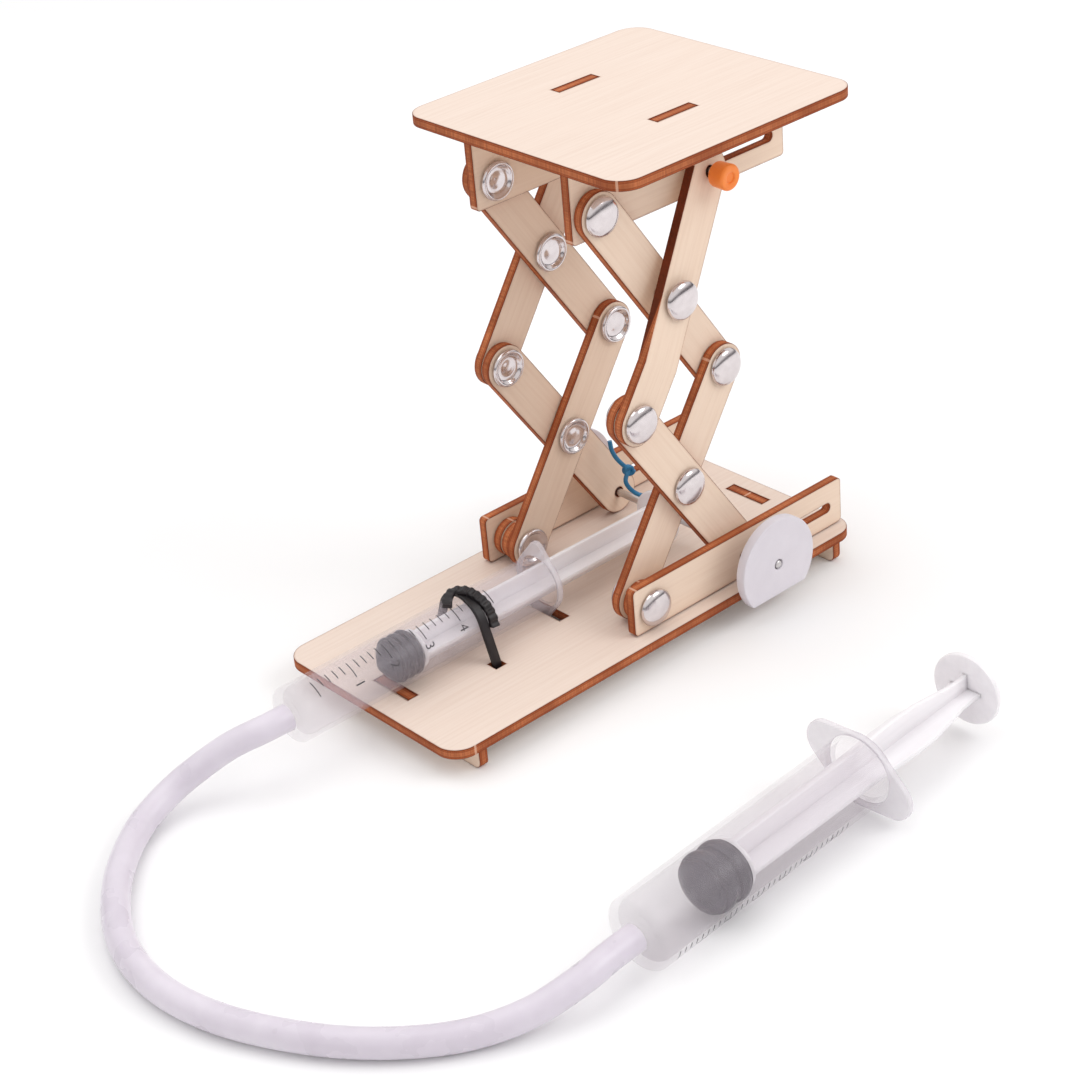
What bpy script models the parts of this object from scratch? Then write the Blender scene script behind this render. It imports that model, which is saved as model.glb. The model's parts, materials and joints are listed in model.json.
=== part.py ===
"""A laser-cut plywood scissor-lift table, worked by two joined syringes.

Lengths are millimetres until a mesh or a location is made. In the working frame X runs from the
front of the base to its slotted rear end, +Y is the far side, and Z is 0 on the base plate's top.
"""

from math import atan2, cos, hypot, pi, radians, sin

import bmesh
import bpy
from mathutils import Matrix, Vector

MM = 0.001

# Where the middle of the whole object's footprint lies in the working frame.
MIDDLE_X = -12.05
MIDDLE_Y = -40.868

# Plywood
PLY = 2.5
GAP = 0.3
PITCH = PLY + GAP

# Base plate and feet
BASE_X = (-69.4, 66.8)
BASE_HALF_WIDTH = 32.5
CORNER = 6.0
FLOOR_Z = -8.5
FOOT_X = 60.4
FOOT_HALF_WIDTH = 31.3
TAB_HALF = 6.2

# Scissor: every arm is the same, with a hole at each end and one in the middle
ARM = 60.0
ARM_HALF_WIDTH = 5.75
REST_ANGLE = radians(55.8)
PIVOT_X = -1.5
PIVOT_Z = 6.05
RUN = ARM * cos(REST_ANGLE)
RISE = ARM * sin(REST_ANGLE)
HOLE_R = 1.8

# The near upper sliding arm is flexed towards the platform's hanger, starting this far along it
FLEX_START = 14.0
FLEX_PER_MM = 0.155

# Layers of plywood across the table, counted outwards from INNER_LAYER
INNER_LAYER = 16.6
NEAR, FAR = -1, 1
LAYER = {
    (NEAR, "hanger"): -1,
    (NEAR, "upper_fixed"): 0,
    (NEAR, "lower_fixed"): 1,
    (NEAR, "lower_sliding"): 2,
    (NEAR, "upper_sliding"): 3,
    (FAR, "hanger"): 0,
    (FAR, "lower_fixed"): 0,
    (FAR, "upper_fixed"): 1,
    (FAR, "lower_sliding"): 1,
    (FAR, "upper_sliding"): 2,
}
SIDE_NAME = {NEAR: "near", FAR: "far"}

# Rails of the base
RAIL_X = (-8.2, 65.7)
RAIL_INNER = 25.7
RAIL_TOP = 13.0
SLOT_HALF_HEIGHT = 1.3

# Platform
PLATFORM_X = (-10.9, 65.0)
PLATFORM_HALF_WIDTH = 37.2
HANGER_X = (-7.8, 61.2)
HANGER_BELOW_PIVOT = 6.1
PLATFORM_ABOVE_PIVOT = 12.4

# Rivets and spacers
RIVET_POST_R = 1.4
RIVET_CAP_R = 4.8
RIVET_RIM = 0.45
RIVET_DOME = 1.75
SPACER_R = 5.0

# Axles
AXLE_R = 1.0
AXLE_HOLE_R = 1.35
DISC_R = 12.5
DISC_Y = (35.2, 37.9)
DISC_FLAT_BELOW = 8.5
CAP_R = 3.2
CAP_LENGTH = 4.5

# Base syringe
BASE_FRONT_X = -90.9
BASE_AXIS_Z = 7.65
BASE_BARREL = {"radius": 7.0, "bore": 6.1, "length": 78.7, "shoulder": 2.4, "wing": 11.2, "width": 8.1}
BASE_STOPPER = (29.5, 36.4)
BASE_THUMB = 119.3
BASE_THUMB_R = 7.2

# Hand syringe
HAND_FRONT = (-85.4, -108.05)
HAND_YAW = radians(2.2)
HAND_PITCH = radians(1.4)
HAND_WING_TILT = radians(22)
HAND_BARREL = {"radius": 8.6, "bore": 7.5, "length": 71.8, "shoulder": 1.9, "wing": 15.0, "width": 9.0}
HAND_STOPPER = (19.2, 28.4)
HAND_THUMB = 109.0
HAND_THUMB_R = 9.0
WING_THICKNESS = 1.6
THUMB_THICKNESS = 1.5

# Zip tie
TIE_X = -37.75
TIE_WIDTH = 2.4
TIE_HALF = 0.45
TIE_HOLE_Y = 10.8
TIE_HOLE = 3.1

# Hose
HOSE_R = 3.25
HOSE_SPACING = 6.8

COLOURS = {
    "ply": ((0.83, 0.68, 0.50, 1.0), 0.6, 0.0),
    "nickel": ((0.75, 0.74, 0.72, 1.0), 0.2, 1.0),
    "steel": ((0.55, 0.55, 0.56, 1.0), 0.3, 1.0),
    "clear_plastic": ((0.86, 0.87, 0.90, 1.0), 0.3, 0.0),
    "white_plastic": ((0.88, 0.88, 0.92, 1.0), 0.4, 0.0),
    "hose": ((0.80, 0.79, 0.86, 1.0), 0.3, 0.0),
    "black_rubber": ((0.02, 0.02, 0.02, 1.0), 0.7, 0.0),
    "black_plastic": ((0.015, 0.015, 0.015, 1.0), 0.45, 0.0),
    "orange_plastic": ((0.95, 0.30, 0.05, 1.0), 0.4, 0.0),
    "blue_plastic": ((0.02, 0.16, 0.45, 1.0), 0.4, 0.0),
}

STANDING = (pi / 2, 0, 0)
CROSSWISE = (pi / 2, 0, pi / 2)
ALONG_X = (0, pi / 2, 0)


# ---------------------------------------------------------------- helpers


def clear_scene():
    for obj in list(bpy.data.objects):
        bpy.data.objects.remove(obj, do_unlink=True)


def material(name):
    colour, roughness, metallic = COLOURS[name]
    made = bpy.data.materials.get(name) or bpy.data.materials.new(name)
    made.use_nodes = True
    shader = made.node_tree.nodes["Principled BSDF"]
    shader.inputs["Base Color"].default_value = colour
    shader.inputs["Roughness"].default_value = roughness
    shader.inputs["Metallic"].default_value = metallic
    return made


def world(x, y, z):
    """A working-frame point in metres, from the middle of the footprint and up from the floor."""
    return Vector((x - MIDDLE_X, y - MIDDLE_Y, z - FLOOR_Z)) * MM


def pivot_empty(name, place, above=None):
    """An empty that remembers where it stands at rest, to hang other pieces from."""
    empty = bpy.data.objects.new(name, None)
    empty["rest_place"] = list(place)
    empty.location = place
    bpy.context.collection.objects.link(empty)
    if above:
        hang(empty, above)
    return empty


def hang(child, parent):
    """Parents child to an unrotated pivot empty without moving it."""
    child.parent = parent
    child.matrix_parent_inverse = Matrix.Translation(-Vector(parent["rest_place"]))


def add(name, mesh, colour, location, rotation=(0, 0, 0), parent=None):
    mesh.name = name
    mesh.transform(Matrix.Scale(MM, 4))
    mesh.materials.clear()
    mesh.materials.append(material(colour))
    obj = bpy.data.objects.new(name, mesh)
    obj.location = location
    obj.rotation_euler = rotation
    bpy.context.collection.objects.link(obj)
    if parent:
        hang(obj, parent)
    return obj


def smooth(obj, angle=35):
    obj.data.shade_smooth()
    obj.data.set_sharp_from_angle(angle=radians(angle))
    return obj


def join_shape(obj, mesh, name):
    """Adds a mesh, given in obj's own frame, to obj's body with a Boolean union."""
    helper = add(name, mesh, "white_plastic", obj.location, obj.rotation_euler)
    helper.hide_render = True
    helper.display_type = "WIRE"
    if obj.parent:
        hang(helper, obj.parent)
    union = obj.modifiers.new("join " + name, "BOOLEAN")
    union.operation = "UNION"
    union.solver = "EXACT"
    union.object = helper


def arc(x, y, radius, start, end, steps):
    turn = (end - start) / steps
    angles = [start + i * turn for i in range(steps + 1)]
    return [(x + radius * cos(angle), y + radius * sin(angle)) for angle in angles]


def circle(x, y, radius, steps=18):
    return arc(x, y, radius, 0, 2 * pi, steps)[:-1]


def rounded_box(x0, y0, x1, y1, radius, steps=6):
    return (
        arc(x1 - radius, y0 + radius, radius, -pi / 2, 0, steps)
        + arc(x1 - radius, y1 - radius, radius, 0, pi / 2, steps)
        + arc(x0 + radius, y1 - radius, radius, pi / 2, pi, steps)
        + arc(x0 + radius, y0 + radius, radius, pi, 3 * pi / 2, steps)
    )


def box(x0, y0, x1, y1):
    return [(x0, y0), (x1, y0), (x1, y1), (x0, y1)]


def slot(x0, x1, y, half_height, steps=8):
    return arc(x1 - half_height, y, half_height, -pi / 2, pi / 2, steps) + arc(
        x0 + half_height, y, half_height, pi / 2, 3 * pi / 2, steps
    )


def sheet_mesh(outline, holes=(), thickness=PLY):
    """A flat outline with holes, given thickness either side of its own plane."""
    curve = bpy.data.curves.new("outline", "CURVE")
    curve.dimensions = "2D"
    curve.fill_mode = "BOTH"
    curve.extrude = thickness / 2
    for points in [outline, *holes]:
        spline = curve.splines.new("POLY")
        spline.points.add(len(points) - 1)
        spline.use_cyclic_u = True
        for point, (x, y) in zip(spline.points, points):
            point.co = (x, y, 0, 1)
    holder = bpy.data.objects.new("outline", curve)
    mesh = bpy.data.meshes.new_from_object(holder)
    bpy.data.objects.remove(holder)
    bpy.data.curves.remove(curve)
    shape = bmesh.new()
    shape.from_mesh(mesh)
    bmesh.ops.remove_doubles(shape, verts=shape.verts, dist=0.001)
    bmesh.ops.recalc_face_normals(shape, faces=shape.faces)
    shape.to_mesh(mesh)
    shape.free()
    return mesh


def turned_mesh(profile, steps=24, closed=False):
    """Turns (radius, height) points about Z. An open profile starts and ends on the axis."""
    shape = bmesh.new()
    rings = []
    for radius, height in profile:
        if radius < 1e-6:
            rings.append([shape.verts.new((0, 0, height))])
            continue
        rings.append([shape.verts.new((x, y, height)) for x, y in circle(0, 0, radius, steps)])
    pairs = list(zip(rings, rings[1:]))
    if closed:
        pairs.append((rings[-1], rings[0]))
    for low, high in pairs:
        for i in range(steps):
            j = (i + 1) % steps
            corners = [low[i % len(low)], low[j % len(low)], high[j % len(high)], high[i % len(high)]]
            distinct = list(dict.fromkeys(corners))
            if len(distinct) > 2:
                shape.faces.new(distinct)
    bmesh.ops.recalc_face_normals(shape, faces=shape.faces)
    mesh = bpy.data.meshes.new("turned")
    shape.to_mesh(mesh)
    shape.free()
    return mesh


def tube_object(name, points, radius, colour, resolution, parent=None):
    """A solid tube through points given in metres."""
    curve = bpy.data.curves.new(name, "CURVE")
    curve.dimensions = "3D"
    curve.bevel_depth = radius * MM
    curve.bevel_resolution = resolution
    curve.use_fill_caps = True
    spline = curve.splines.new("POLY")
    spline.points.add(len(points) - 1)
    for point, place in zip(spline.points, points):
        point.co = (*place, 1)
    curve.materials.append(material(colour))
    obj = bpy.data.objects.new(name, curve)
    bpy.context.collection.objects.link(obj)
    if parent:
        hang(obj, parent)
    return obj


def smooth_path(route, spacing):
    """Points about spacing apart on the Catmull-Rom curve through the route."""
    ends = [2 * route[0] - route[1], *route, 2 * route[-1] - route[-2]]
    points = []
    for before, start, end, after in zip(ends, ends[1:], ends[2:], ends[3:]):
        steps = max(1, round((end - start).length / spacing))
        for i in range(steps):
            t = i / steps
            bend = 2 * before - 5 * start + 4 * end - after
            twist = 3 * start - before - 3 * end + after
            points.append(0.5 * (2 * start + (end - before) * t + bend * t**2 + twist * t**3))
    return [*points, route[-1]]


# ---------------------------------------------------------------- places


def layer_faces(side, part):
    """The inner and outer distance from the middle plane of the layer that a part lies in."""
    inner = INNER_LAYER + LAYER[side, part] * PITCH
    return inner, inner + PLY


def joint_place(name):
    """The X and Z of each pivot at rest."""
    middle = PIVOT_X + RUN / 2
    rear = PIVOT_X + RUN
    return {
        "base": (PIVOT_X, PIVOT_Z),
        "lower_middle": (middle, PIVOT_Z + RISE / 2),
        "rear_elbow": (rear, PIVOT_Z + RISE),
        "front_elbow": (PIVOT_X, PIVOT_Z + RISE),
        "upper_middle": (middle, PIVOT_Z + RISE * 1.5),
        "platform": (PIVOT_X, PIVOT_Z + RISE * 2),
        "lower_axle": (rear, PIVOT_Z),
        "upper_axle": (rear, PIVOT_Z + RISE * 2),
    }[name]


def flat_place(x, z, side, inner, outer):
    return world(x, side * (inner + outer) / 2, z)


# ---------------------------------------------------------------- base


def make_base():
    plate = rounded_box(BASE_X[0], -BASE_HALF_WIDTH, BASE_X[1], BASE_HALF_WIDTH, CORNER)
    half_slot = PLY / 2 + GAP
    holes = [
        box(x - half_slot, -TAB_HALF - GAP, x + half_slot, TAB_HALF + GAP) for x in (-FOOT_X, FOOT_X)
    ]
    wing_x = BASE_FRONT_X + BASE_BARREL["length"] - WING_THICKNESS / 2 - GAP
    holes.append(box(wing_x - half_slot, -BASE_BARREL["width"], wing_x + half_slot, BASE_BARREL["width"]))
    half_hole = TIE_HOLE / 2
    for y in (-TIE_HOLE_Y, TIE_HOLE_Y):
        holes.append(box(TIE_X - half_hole, y - half_hole, TIE_X + half_hole, y + half_hole))
    add("base_plate", sheet_mesh(plate, holes), "ply", world(0, 0, -PLY / 2))


def make_feet():
    top = -PLY - GAP
    outline = (
        arc(-FOOT_HALF_WIDTH + 2, FLOOR_Z + 2, 2, pi, 3 * pi / 2, 4)
        + arc(FOOT_HALF_WIDTH - 2, FLOOR_Z + 2, 2, 3 * pi / 2, 2 * pi, 4)
        + [(FOOT_HALF_WIDTH, top), (TAB_HALF, top), (TAB_HALF, 0), (-TAB_HALF, 0), (-TAB_HALF, top)]
        + [(-FOOT_HALF_WIDTH, top)]
    )
    for name, x in (("front_foot", -FOOT_X), ("rear_foot", FOOT_X)):
        add(name, sheet_mesh(outline), "ply", world(x, 0, 0), CROSSWISE)


def make_rails():
    outline = rounded_box(RAIL_X[0], GAP, RAIL_X[1], RAIL_TOP, 1.2)
    holes = [circle(PIVOT_X, PIVOT_Z, HOLE_R), slot(28.5, 61.6, PIVOT_Z, SLOT_HALF_HEIGHT)]
    for side, name in SIDE_NAME.items():
        place = flat_place(0, 0, side, RAIL_INNER, RAIL_INNER + PLY)
        add(name + "_rail", sheet_mesh(outline, holes), "ply", place, STANDING)


def tie_outline(offset):
    """The zip tie's loop in Y and Z: down through both holes, and over the barrel by its tangents."""
    radius = BASE_BARREL["radius"] + 0.75 + offset
    y = TIE_HOLE_Y + offset
    drop = -BASE_AXIS_Z + 0.3
    reach = hypot(y, drop)
    lean = atan2(drop, y) + pi / 2 - atan2(radius, (reach**2 - radius**2) ** 0.5)
    over = arc(0, BASE_AXIS_Z, radius, lean, pi - lean, 20)
    under = -PLY - 0.8 - offset
    return [(-y, BASE_AXIS_Z + drop), (-y, under), (y, under), (y, BASE_AXIS_Z + drop), *over]


def make_zip_tie():
    mesh = sheet_mesh(tie_outline(TIE_HALF), [tie_outline(-TIE_HALF)], TIE_WIDTH)
    add("zip_tie", mesh, "black_plastic", world(TIE_X, 0, 0), CROSSWISE)


# ---------------------------------------------------------------- scissor


def arm_mesh(holes):
    ends = arc(0, 0, ARM_HALF_WIDTH, pi / 2, 3 * pi / 2, 10)
    ends += arc(ARM, 0, ARM_HALF_WIDTH, -pi / 2, pi / 2, 10)
    return sheet_mesh(ends, [circle(x, 0, radius, 16) for x, radius in holes])


def flexed(distance):
    """How far in the flexed arm lies at a distance from its lower end."""
    return FLEX_PER_MM * max(0.0, distance - FLEX_START)


def flex(mesh):
    """Cuts the arm where its flex starts, and shears the rest of it inwards."""
    shape = bmesh.new()
    shape.from_mesh(mesh)
    everything = shape.verts[:] + shape.edges[:] + shape.faces[:]
    bmesh.ops.bisect_plane(shape, geom=everything, plane_co=(FLEX_START, 0, 0), plane_no=(1, 0, 0))
    for vert in shape.verts:
        vert.co.z -= flexed(vert.co.x)
    shape.to_mesh(mesh)
    shape.free()


def make_arms(bodies):
    """Each arm starts at its lower end. The fixed ones lean to the rear or carry the front pivots."""
    starts = {
        "lower_fixed": ("base", REST_ANGLE, (HOLE_R, HOLE_R, HOLE_R)),
        "lower_sliding": ("lower_axle", pi - REST_ANGLE, (AXLE_HOLE_R, HOLE_R, HOLE_R)),
        "upper_fixed": ("rear_elbow", pi - REST_ANGLE, (HOLE_R, HOLE_R, HOLE_R)),
        "upper_sliding": ("front_elbow", REST_ANGLE, (HOLE_R, HOLE_R, AXLE_HOLE_R)),
    }
    for part, (start, angle, radii) in starts.items():
        for side, side_name in SIDE_NAME.items():
            mesh = arm_mesh(list(zip((0, ARM / 2, ARM), radii)))
            if (side, part) == (NEAR, "upper_sliding"):
                flex(mesh)
            place = flat_place(*joint_place(start), side, *layer_faces(side, part))
            name = f"{side_name}_{part}_arm"
            add(name, mesh, "ply", place, (pi / 2, -angle, 0), bodies[part])


def rivet_mesh(length):
    """A double-cap rivet standing on Z, with its caps' flat undersides at 0 and at length."""
    dome = [
        (RIVET_CAP_R * cos(a), RIVET_RIM + RIVET_DOME * sin(a))
        for a in [pi / 2 * step / 4 for step in range(1, 5)]
    ]
    dome[-1] = (0.0, RIVET_RIM + RIVET_DOME)
    cap = [(RIVET_POST_R, 0), (RIVET_CAP_R, 0), (RIVET_CAP_R, RIVET_RIM), *dome]
    lower = [(radius, -height) for radius, height in reversed(cap)]
    upper = [(radius, length + height) for radius, height in cap]
    return turned_mesh(lower + upper, 20)


def make_rivet(name, side, joint, inner_part, outer_part, parent):
    inner = layer_faces(side, inner_part)[0] - GAP
    outer = RAIL_INNER + PLY + GAP if outer_part == "rail" else layer_faces(side, outer_part)[1] + GAP
    if (name, side) == ("upper_middle", NEAR):
        outer -= flexed(ARM / 2 - RIVET_CAP_R)
    x, z = joint_place(joint)
    mesh = rivet_mesh(outer - inner)
    turn = (pi / 2, 0, 0) if side == NEAR else (-pi / 2, 0, 0)
    obj = add(f"{SIDE_NAME[side]}_{name}_rivet", mesh, "nickel", world(x, side * inner, z), turn, parent)
    smooth(obj)


def make_spacers(side, count, parent):
    """Plywood rings that fill the space between a lower fixed arm and its rail."""
    inner = layer_faces(side, "lower_fixed")[1]
    gap = (RAIL_INNER - inner - count * PLY) / (count + 1)
    x, z = joint_place("base")
    for i in range(count):
        start = inner + gap + i * (PLY + gap)
        mesh = sheet_mesh(circle(0, 0, SPACER_R, 24), [circle(0, 0, HOLE_R, 16)])
        label = f"{SIDE_NAME[side]}_base_spacer_{i + 1}"
        add(label, mesh, "ply", flat_place(x, z, side, start, start + PLY), STANDING, parent)


def make_pivots(bodies):
    for side in (NEAR, FAR):
        near = side == NEAR
        make_rivet("base", side, "base", "lower_fixed", "rail", bodies["lower_fixed"])
        crossing = bodies["lower_sliding"]
        make_rivet("lower_middle", side, "lower_middle", "lower_fixed", "lower_sliding", crossing)
        inner, outer = ("upper_fixed", "lower_fixed") if near else ("lower_fixed", "upper_fixed")
        make_rivet("rear_elbow", side, "rear_elbow", inner, outer, bodies["lower_fixed"])
        make_rivet("front_elbow", side, "front_elbow", "lower_sliding", "upper_sliding", crossing)
        crossing = bodies["upper_sliding"]
        make_rivet("upper_middle", side, "upper_middle", "upper_fixed", "upper_sliding", crossing)
        make_rivet("platform", side, "platform", "hanger", "upper_fixed", bodies["platform"])
        make_spacers(side, 1 if near else 2, bodies["lower_fixed"])


# ---------------------------------------------------------------- platform


def make_platform(parent):
    pivot_z = joint_place("platform")[1]
    under = pivot_z + PLATFORM_ABOVE_PIVOT
    tab_middle = sum(HANGER_X) / 2
    tab = (tab_middle - TAB_HALF, tab_middle + TAB_HALF)
    half_slot = PLY / 2 + GAP
    slots = []
    for side, side_name in SIDE_NAME.items():
        inner, outer = layer_faces(side, "hanger")
        middle = side * (inner + outer) / 2
        slots.append(box(tab[0] - GAP, middle - half_slot, tab[1] + GAP, middle + half_slot))
        bottom = pivot_z - HANGER_BELOW_PIVOT
        top = under - GAP
        outline = (
            arc(HANGER_X[0] + 1, bottom + 1, 1, pi, 3 * pi / 2, 6)
            + arc(HANGER_X[1] - 1, bottom + 1, 1, 3 * pi / 2, 2 * pi, 6)
            + [(HANGER_X[1], top), (tab[1], top), (tab[1], under + PLY), (tab[0], under + PLY)]
            + [(tab[0], top), (HANGER_X[0], top)]
        )
        holes = [circle(PIVOT_X, pivot_z, HOLE_R), slot(28.5, 57.5, pivot_z, SLOT_HALF_HEIGHT)]
        place = flat_place(0, 0, side, inner, outer)
        add(side_name + "_hanger", sheet_mesh(outline, holes), "ply", place, STANDING, parent)
    plate = rounded_box(PLATFORM_X[0], -PLATFORM_HALF_WIDTH, PLATFORM_X[1], PLATFORM_HALF_WIDTH, CORNER)
    add("platform_plate", sheet_mesh(plate, slots), "ply", world(0, 0, under + PLY / 2), parent=parent)


# ---------------------------------------------------------------- axles


def rod_mesh(radius, half_length, steps=16):
    end = [(radius, half_length), (0, half_length)]
    return turned_mesh([(0, -half_length), (radius, -half_length), *end], steps)


def disc_outline():
    cut = pi / 2 + atan2((DISC_R**2 - DISC_FLAT_BELOW**2) ** 0.5, DISC_FLAT_BELOW)
    return arc(0, 0, DISC_R, cut - pi, 2 * pi - cut, 40)


def make_lower_axle(parent):
    x, z = joint_place("lower_axle")
    smooth(add("lower_axle", rod_mesh(AXLE_R, DISC_Y[1]), "steel", world(x, 0, z), STANDING, parent))
    for side, side_name in SIDE_NAME.items():
        mesh = sheet_mesh(disc_outline(), [circle(0, 0, AXLE_HOLE_R, 16)], DISC_Y[1] - DISC_Y[0])
        add(side_name + "_disc", mesh, "white_plastic", flat_place(x, z, side, *DISC_Y), STANDING, parent)


def make_upper_axle(parent):
    x, z = joint_place("upper_axle")
    starts = {side: layer_faces(side, "upper_sliding")[1] + 1.5 for side in (NEAR, FAR)}
    starts[NEAR] -= flexed(ARM - CAP_R)
    low = -(starts[NEAR] + CAP_LENGTH - 1.0)
    high = starts[FAR] + CAP_LENGTH - 1.0
    rod = rod_mesh(AXLE_R, (high - low) / 2)
    smooth(add("upper_axle", rod, "steel", world(x, (high + low) / 2, z), STANDING, parent))
    for side, side_name in SIDE_NAME.items():
        depth = CAP_LENGTH - 0.7
        profile = [(0, depth), (AXLE_HOLE_R, depth), (AXLE_HOLE_R, 0), (CAP_R, 0)]
        profile += [(x, y) for x, y in arc(CAP_R - 0.7, CAP_LENGTH - 0.7, 0.7, 0, pi / 2, 4)]
        profile += [(0, CAP_LENGTH)]
        turn = (pi / 2, 0, 0) if side == NEAR else (-pi / 2, 0, 0)
        cap = add(
            side_name + "_axle_cap", turned_mesh(profile, 20), "orange_plastic",
            world(x, side * starts[side], z), turn, parent,
        )
        smooth(cap)


# ---------------------------------------------------------------- syringes


def barrel_mesh(barrel):
    """A barrel from its front face at 0, closed there, and open at its back."""
    radius, bore, length, shoulder = (barrel[k] for k in ("radius", "bore", "length", "shoulder"))
    outer = arc(radius - shoulder, shoulder, shoulder, -pi / 2, 0, 5)
    profile = [(0, 0), *outer, (radius, length), (bore, length), (bore, shoulder), (0, shoulder)]
    return turned_mesh(profile, 36)


def ellipse(half_length, half_width, tilt, steps=36):
    points = [(half_length * cos(a), half_width * sin(a)) for a in (2 * pi * i / steps for i in range(steps))]
    return [(x * cos(tilt) - y * sin(tilt), x * sin(tilt) + y * cos(tilt)) for x, y in points]


def add_wings(obj, barrel, tilt, name):
    hole = (barrel["radius"] + barrel["bore"]) / 2
    outline = ellipse(barrel["wing"], barrel["width"], tilt)
    wings = sheet_mesh(outline, [circle(0, 0, hole, 36)], WING_THICKNESS)
    wings.transform(Matrix.Translation((0, 0, barrel["length"] - WING_THICKNESS / 2 - GAP)))
    join_shape(obj, wings, name)


def stopper_mesh(start, end, radius):
    """A rubber stopper with a cone in front and two sealing ribs."""
    waist = radius - 0.7
    rib = 1.6
    cone = [(0, start - 2.6), (waist * 0.35, start - 2.4), (waist, start)]
    front_rib = [(radius, start), (radius, start + rib), (waist, start + rib + 0.4)]
    rear_rib = [(waist, end - rib - 0.4), (radius, end - rib), (radius, end)]
    return turned_mesh([*cone, *front_rib, *rear_rib, (0, end)], 28)


def cross_outline(reach, half_thickness):
    """A plus sign, as the four ribs of a plunger rod."""
    quarter = [(reach, -half_thickness), (reach, half_thickness), (half_thickness, half_thickness)]
    turned = [(1, 0), (0, 1), (-1, 0), (0, -1)]
    return [(x * c - y * s, x * s + y * c) for c, s in turned for x, y in quarter]


def plunger(name, start, thumb, reach, thumb_radius, location, rotation, parent):
    """A cross-ribbed rod from start to its thumb disc, given along its own Z."""
    rod = sheet_mesh(cross_outline(reach, 0.6), thickness=thumb - start)
    rod.transform(Matrix.Translation((0, 0, (thumb + start) / 2)))
    obj = add(name, rod, "clear_plastic", location, rotation, parent)
    low = thumb - 0.5
    high = thumb + THUMB_THICKNESS - 0.5
    thumb_disc = turned_mesh([(0, low), (thumb_radius, low), (thumb_radius, high), (0, high)], 30)
    join_shape(obj, thumb_disc, name + "_thumb_shape")
    foot_r = reach + 0.3
    foot = [(0, start - 0.1), (foot_r, start - 0.1), (foot_r, start + 1), (0, start + 1)]
    join_shape(obj, turned_mesh(foot, 24), name + "_foot_shape")
    return obj


def make_base_syringe(plunger_body):
    place = world(BASE_FRONT_X, 0, BASE_AXIS_Z)
    barrel = smooth(add("base_barrel", barrel_mesh(BASE_BARREL), "clear_plastic", place, ALONG_X))
    add_wings(barrel, BASE_BARREL, 0, "base_barrel_wing_shape")
    stopper_radius = BASE_BARREL["bore"] - 0.35
    stopper = stopper_mesh(*BASE_STOPPER, stopper_radius)
    smooth(add("base_stopper", stopper, "black_rubber", place, ALONG_X, plunger_body))
    start = BASE_STOPPER[1] + 0.4
    plunger("base_plunger", start, BASE_THUMB - 1.0, 4.6, BASE_THUMB_R, place, ALONG_X, plunger_body)


def make_hand_syringe(plunger_body):
    lift = HAND_BARREL["radius"] * cos(HAND_PITCH) + FLOOR_Z + 0.05
    place = world(*HAND_FRONT, lift)
    turn = (0, pi / 2 - HAND_PITCH, HAND_YAW)
    barrel = smooth(add("hand_barrel", barrel_mesh(HAND_BARREL), "clear_plastic", place, turn))
    add_wings(barrel, HAND_BARREL, pi / 2 + HAND_WING_TILT, "hand_barrel_wing_shape")
    stopper_radius = HAND_BARREL["bore"] - 0.35
    stopper = stopper_mesh(*HAND_STOPPER, stopper_radius)
    smooth(add("hand_stopper", stopper, "black_rubber", place, turn, plunger_body))
    start = HAND_STOPPER[1] + 0.4
    plunger("hand_plunger", start, HAND_THUMB, 5.6, HAND_THUMB_R, place, turn, plunger_body)
    return place, Matrix.Rotation(HAND_YAW, 3, "Z") @ Vector((cos(HAND_PITCH), 0, sin(HAND_PITCH)))


def make_blue_tie(parent):
    """Wire that stands up behind the axle, bends over it and under it, and ends on the thumb disc."""
    route = [
        (26.6, 15.2, 24.9), (26.7, 14.8, 22.4), (27.6, 14.2, 19.8), (29.2, 13.4, 17.3), (30.4, 12.8, 15.8),
        (29.4, 12.6, 14.9), (28.4, 12.2, 13.4), (28.9, 11.4, 11.4), (30.5, 10.6, 9.4), (32.4, 9.6, 8.3),
        (35.0, 8.8, 7.6), (35.8, 8.3, 5.6), (34.2, 7.7, 3.6), (31.4, 6.6, 3.0), (29.7, 5.0, 4.0),
        (29.3, 4.0, 5.4),
    ]
    points = smooth_path([world(*point) for point in route], 2.4 * MM)
    tube_object("blue_tie", points, 0.6, "blue_plastic", 2, parent)


# ---------------------------------------------------------------- hose


def make_hose(hand_place, hand_axis):
    """Free hose from the base syringe to the hand syringe, lying on the floor between them."""
    low = FLOOR_Z + HOSE_R + 0.2
    start = world(BASE_FRONT_X - GAP, 0, BASE_AXIS_Z)
    route = [
        start,
        world(-98.0, 0.6, 7.4),
        world(-104.5, 4.0, 5.2),
        world(-111.5, 7.6, 1.2),
        world(-119.5, 9.4, -2.6),
        world(-130.5, 6.3, low),
        world(-142.4, -3.9, low),
        world(-151.0, -15.4, low),
        world(-156.4, -27.5, low),
        world(-158.4, -41.0, low),
        world(-156.8, -54.3, low),
        world(-152.2, -67.2, low),
        world(-144.3, -81.0, low),
        world(-135.0, -91.9, low),
        world(-124.2, -100.2, -5.0),
        world(-112.6, -105.8, -3.6),
        hand_place - hand_axis * 16 * MM + Vector((0, 0, -0.5 * MM)),
        hand_place - hand_axis * 8 * MM,
        hand_place - hand_axis * GAP * MM,
    ]
    tube_object("hose", smooth_path(route, HOSE_SPACING * MM), HOSE_R, "hose", 3)


# ---------------------------------------------------------------- the whole


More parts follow.
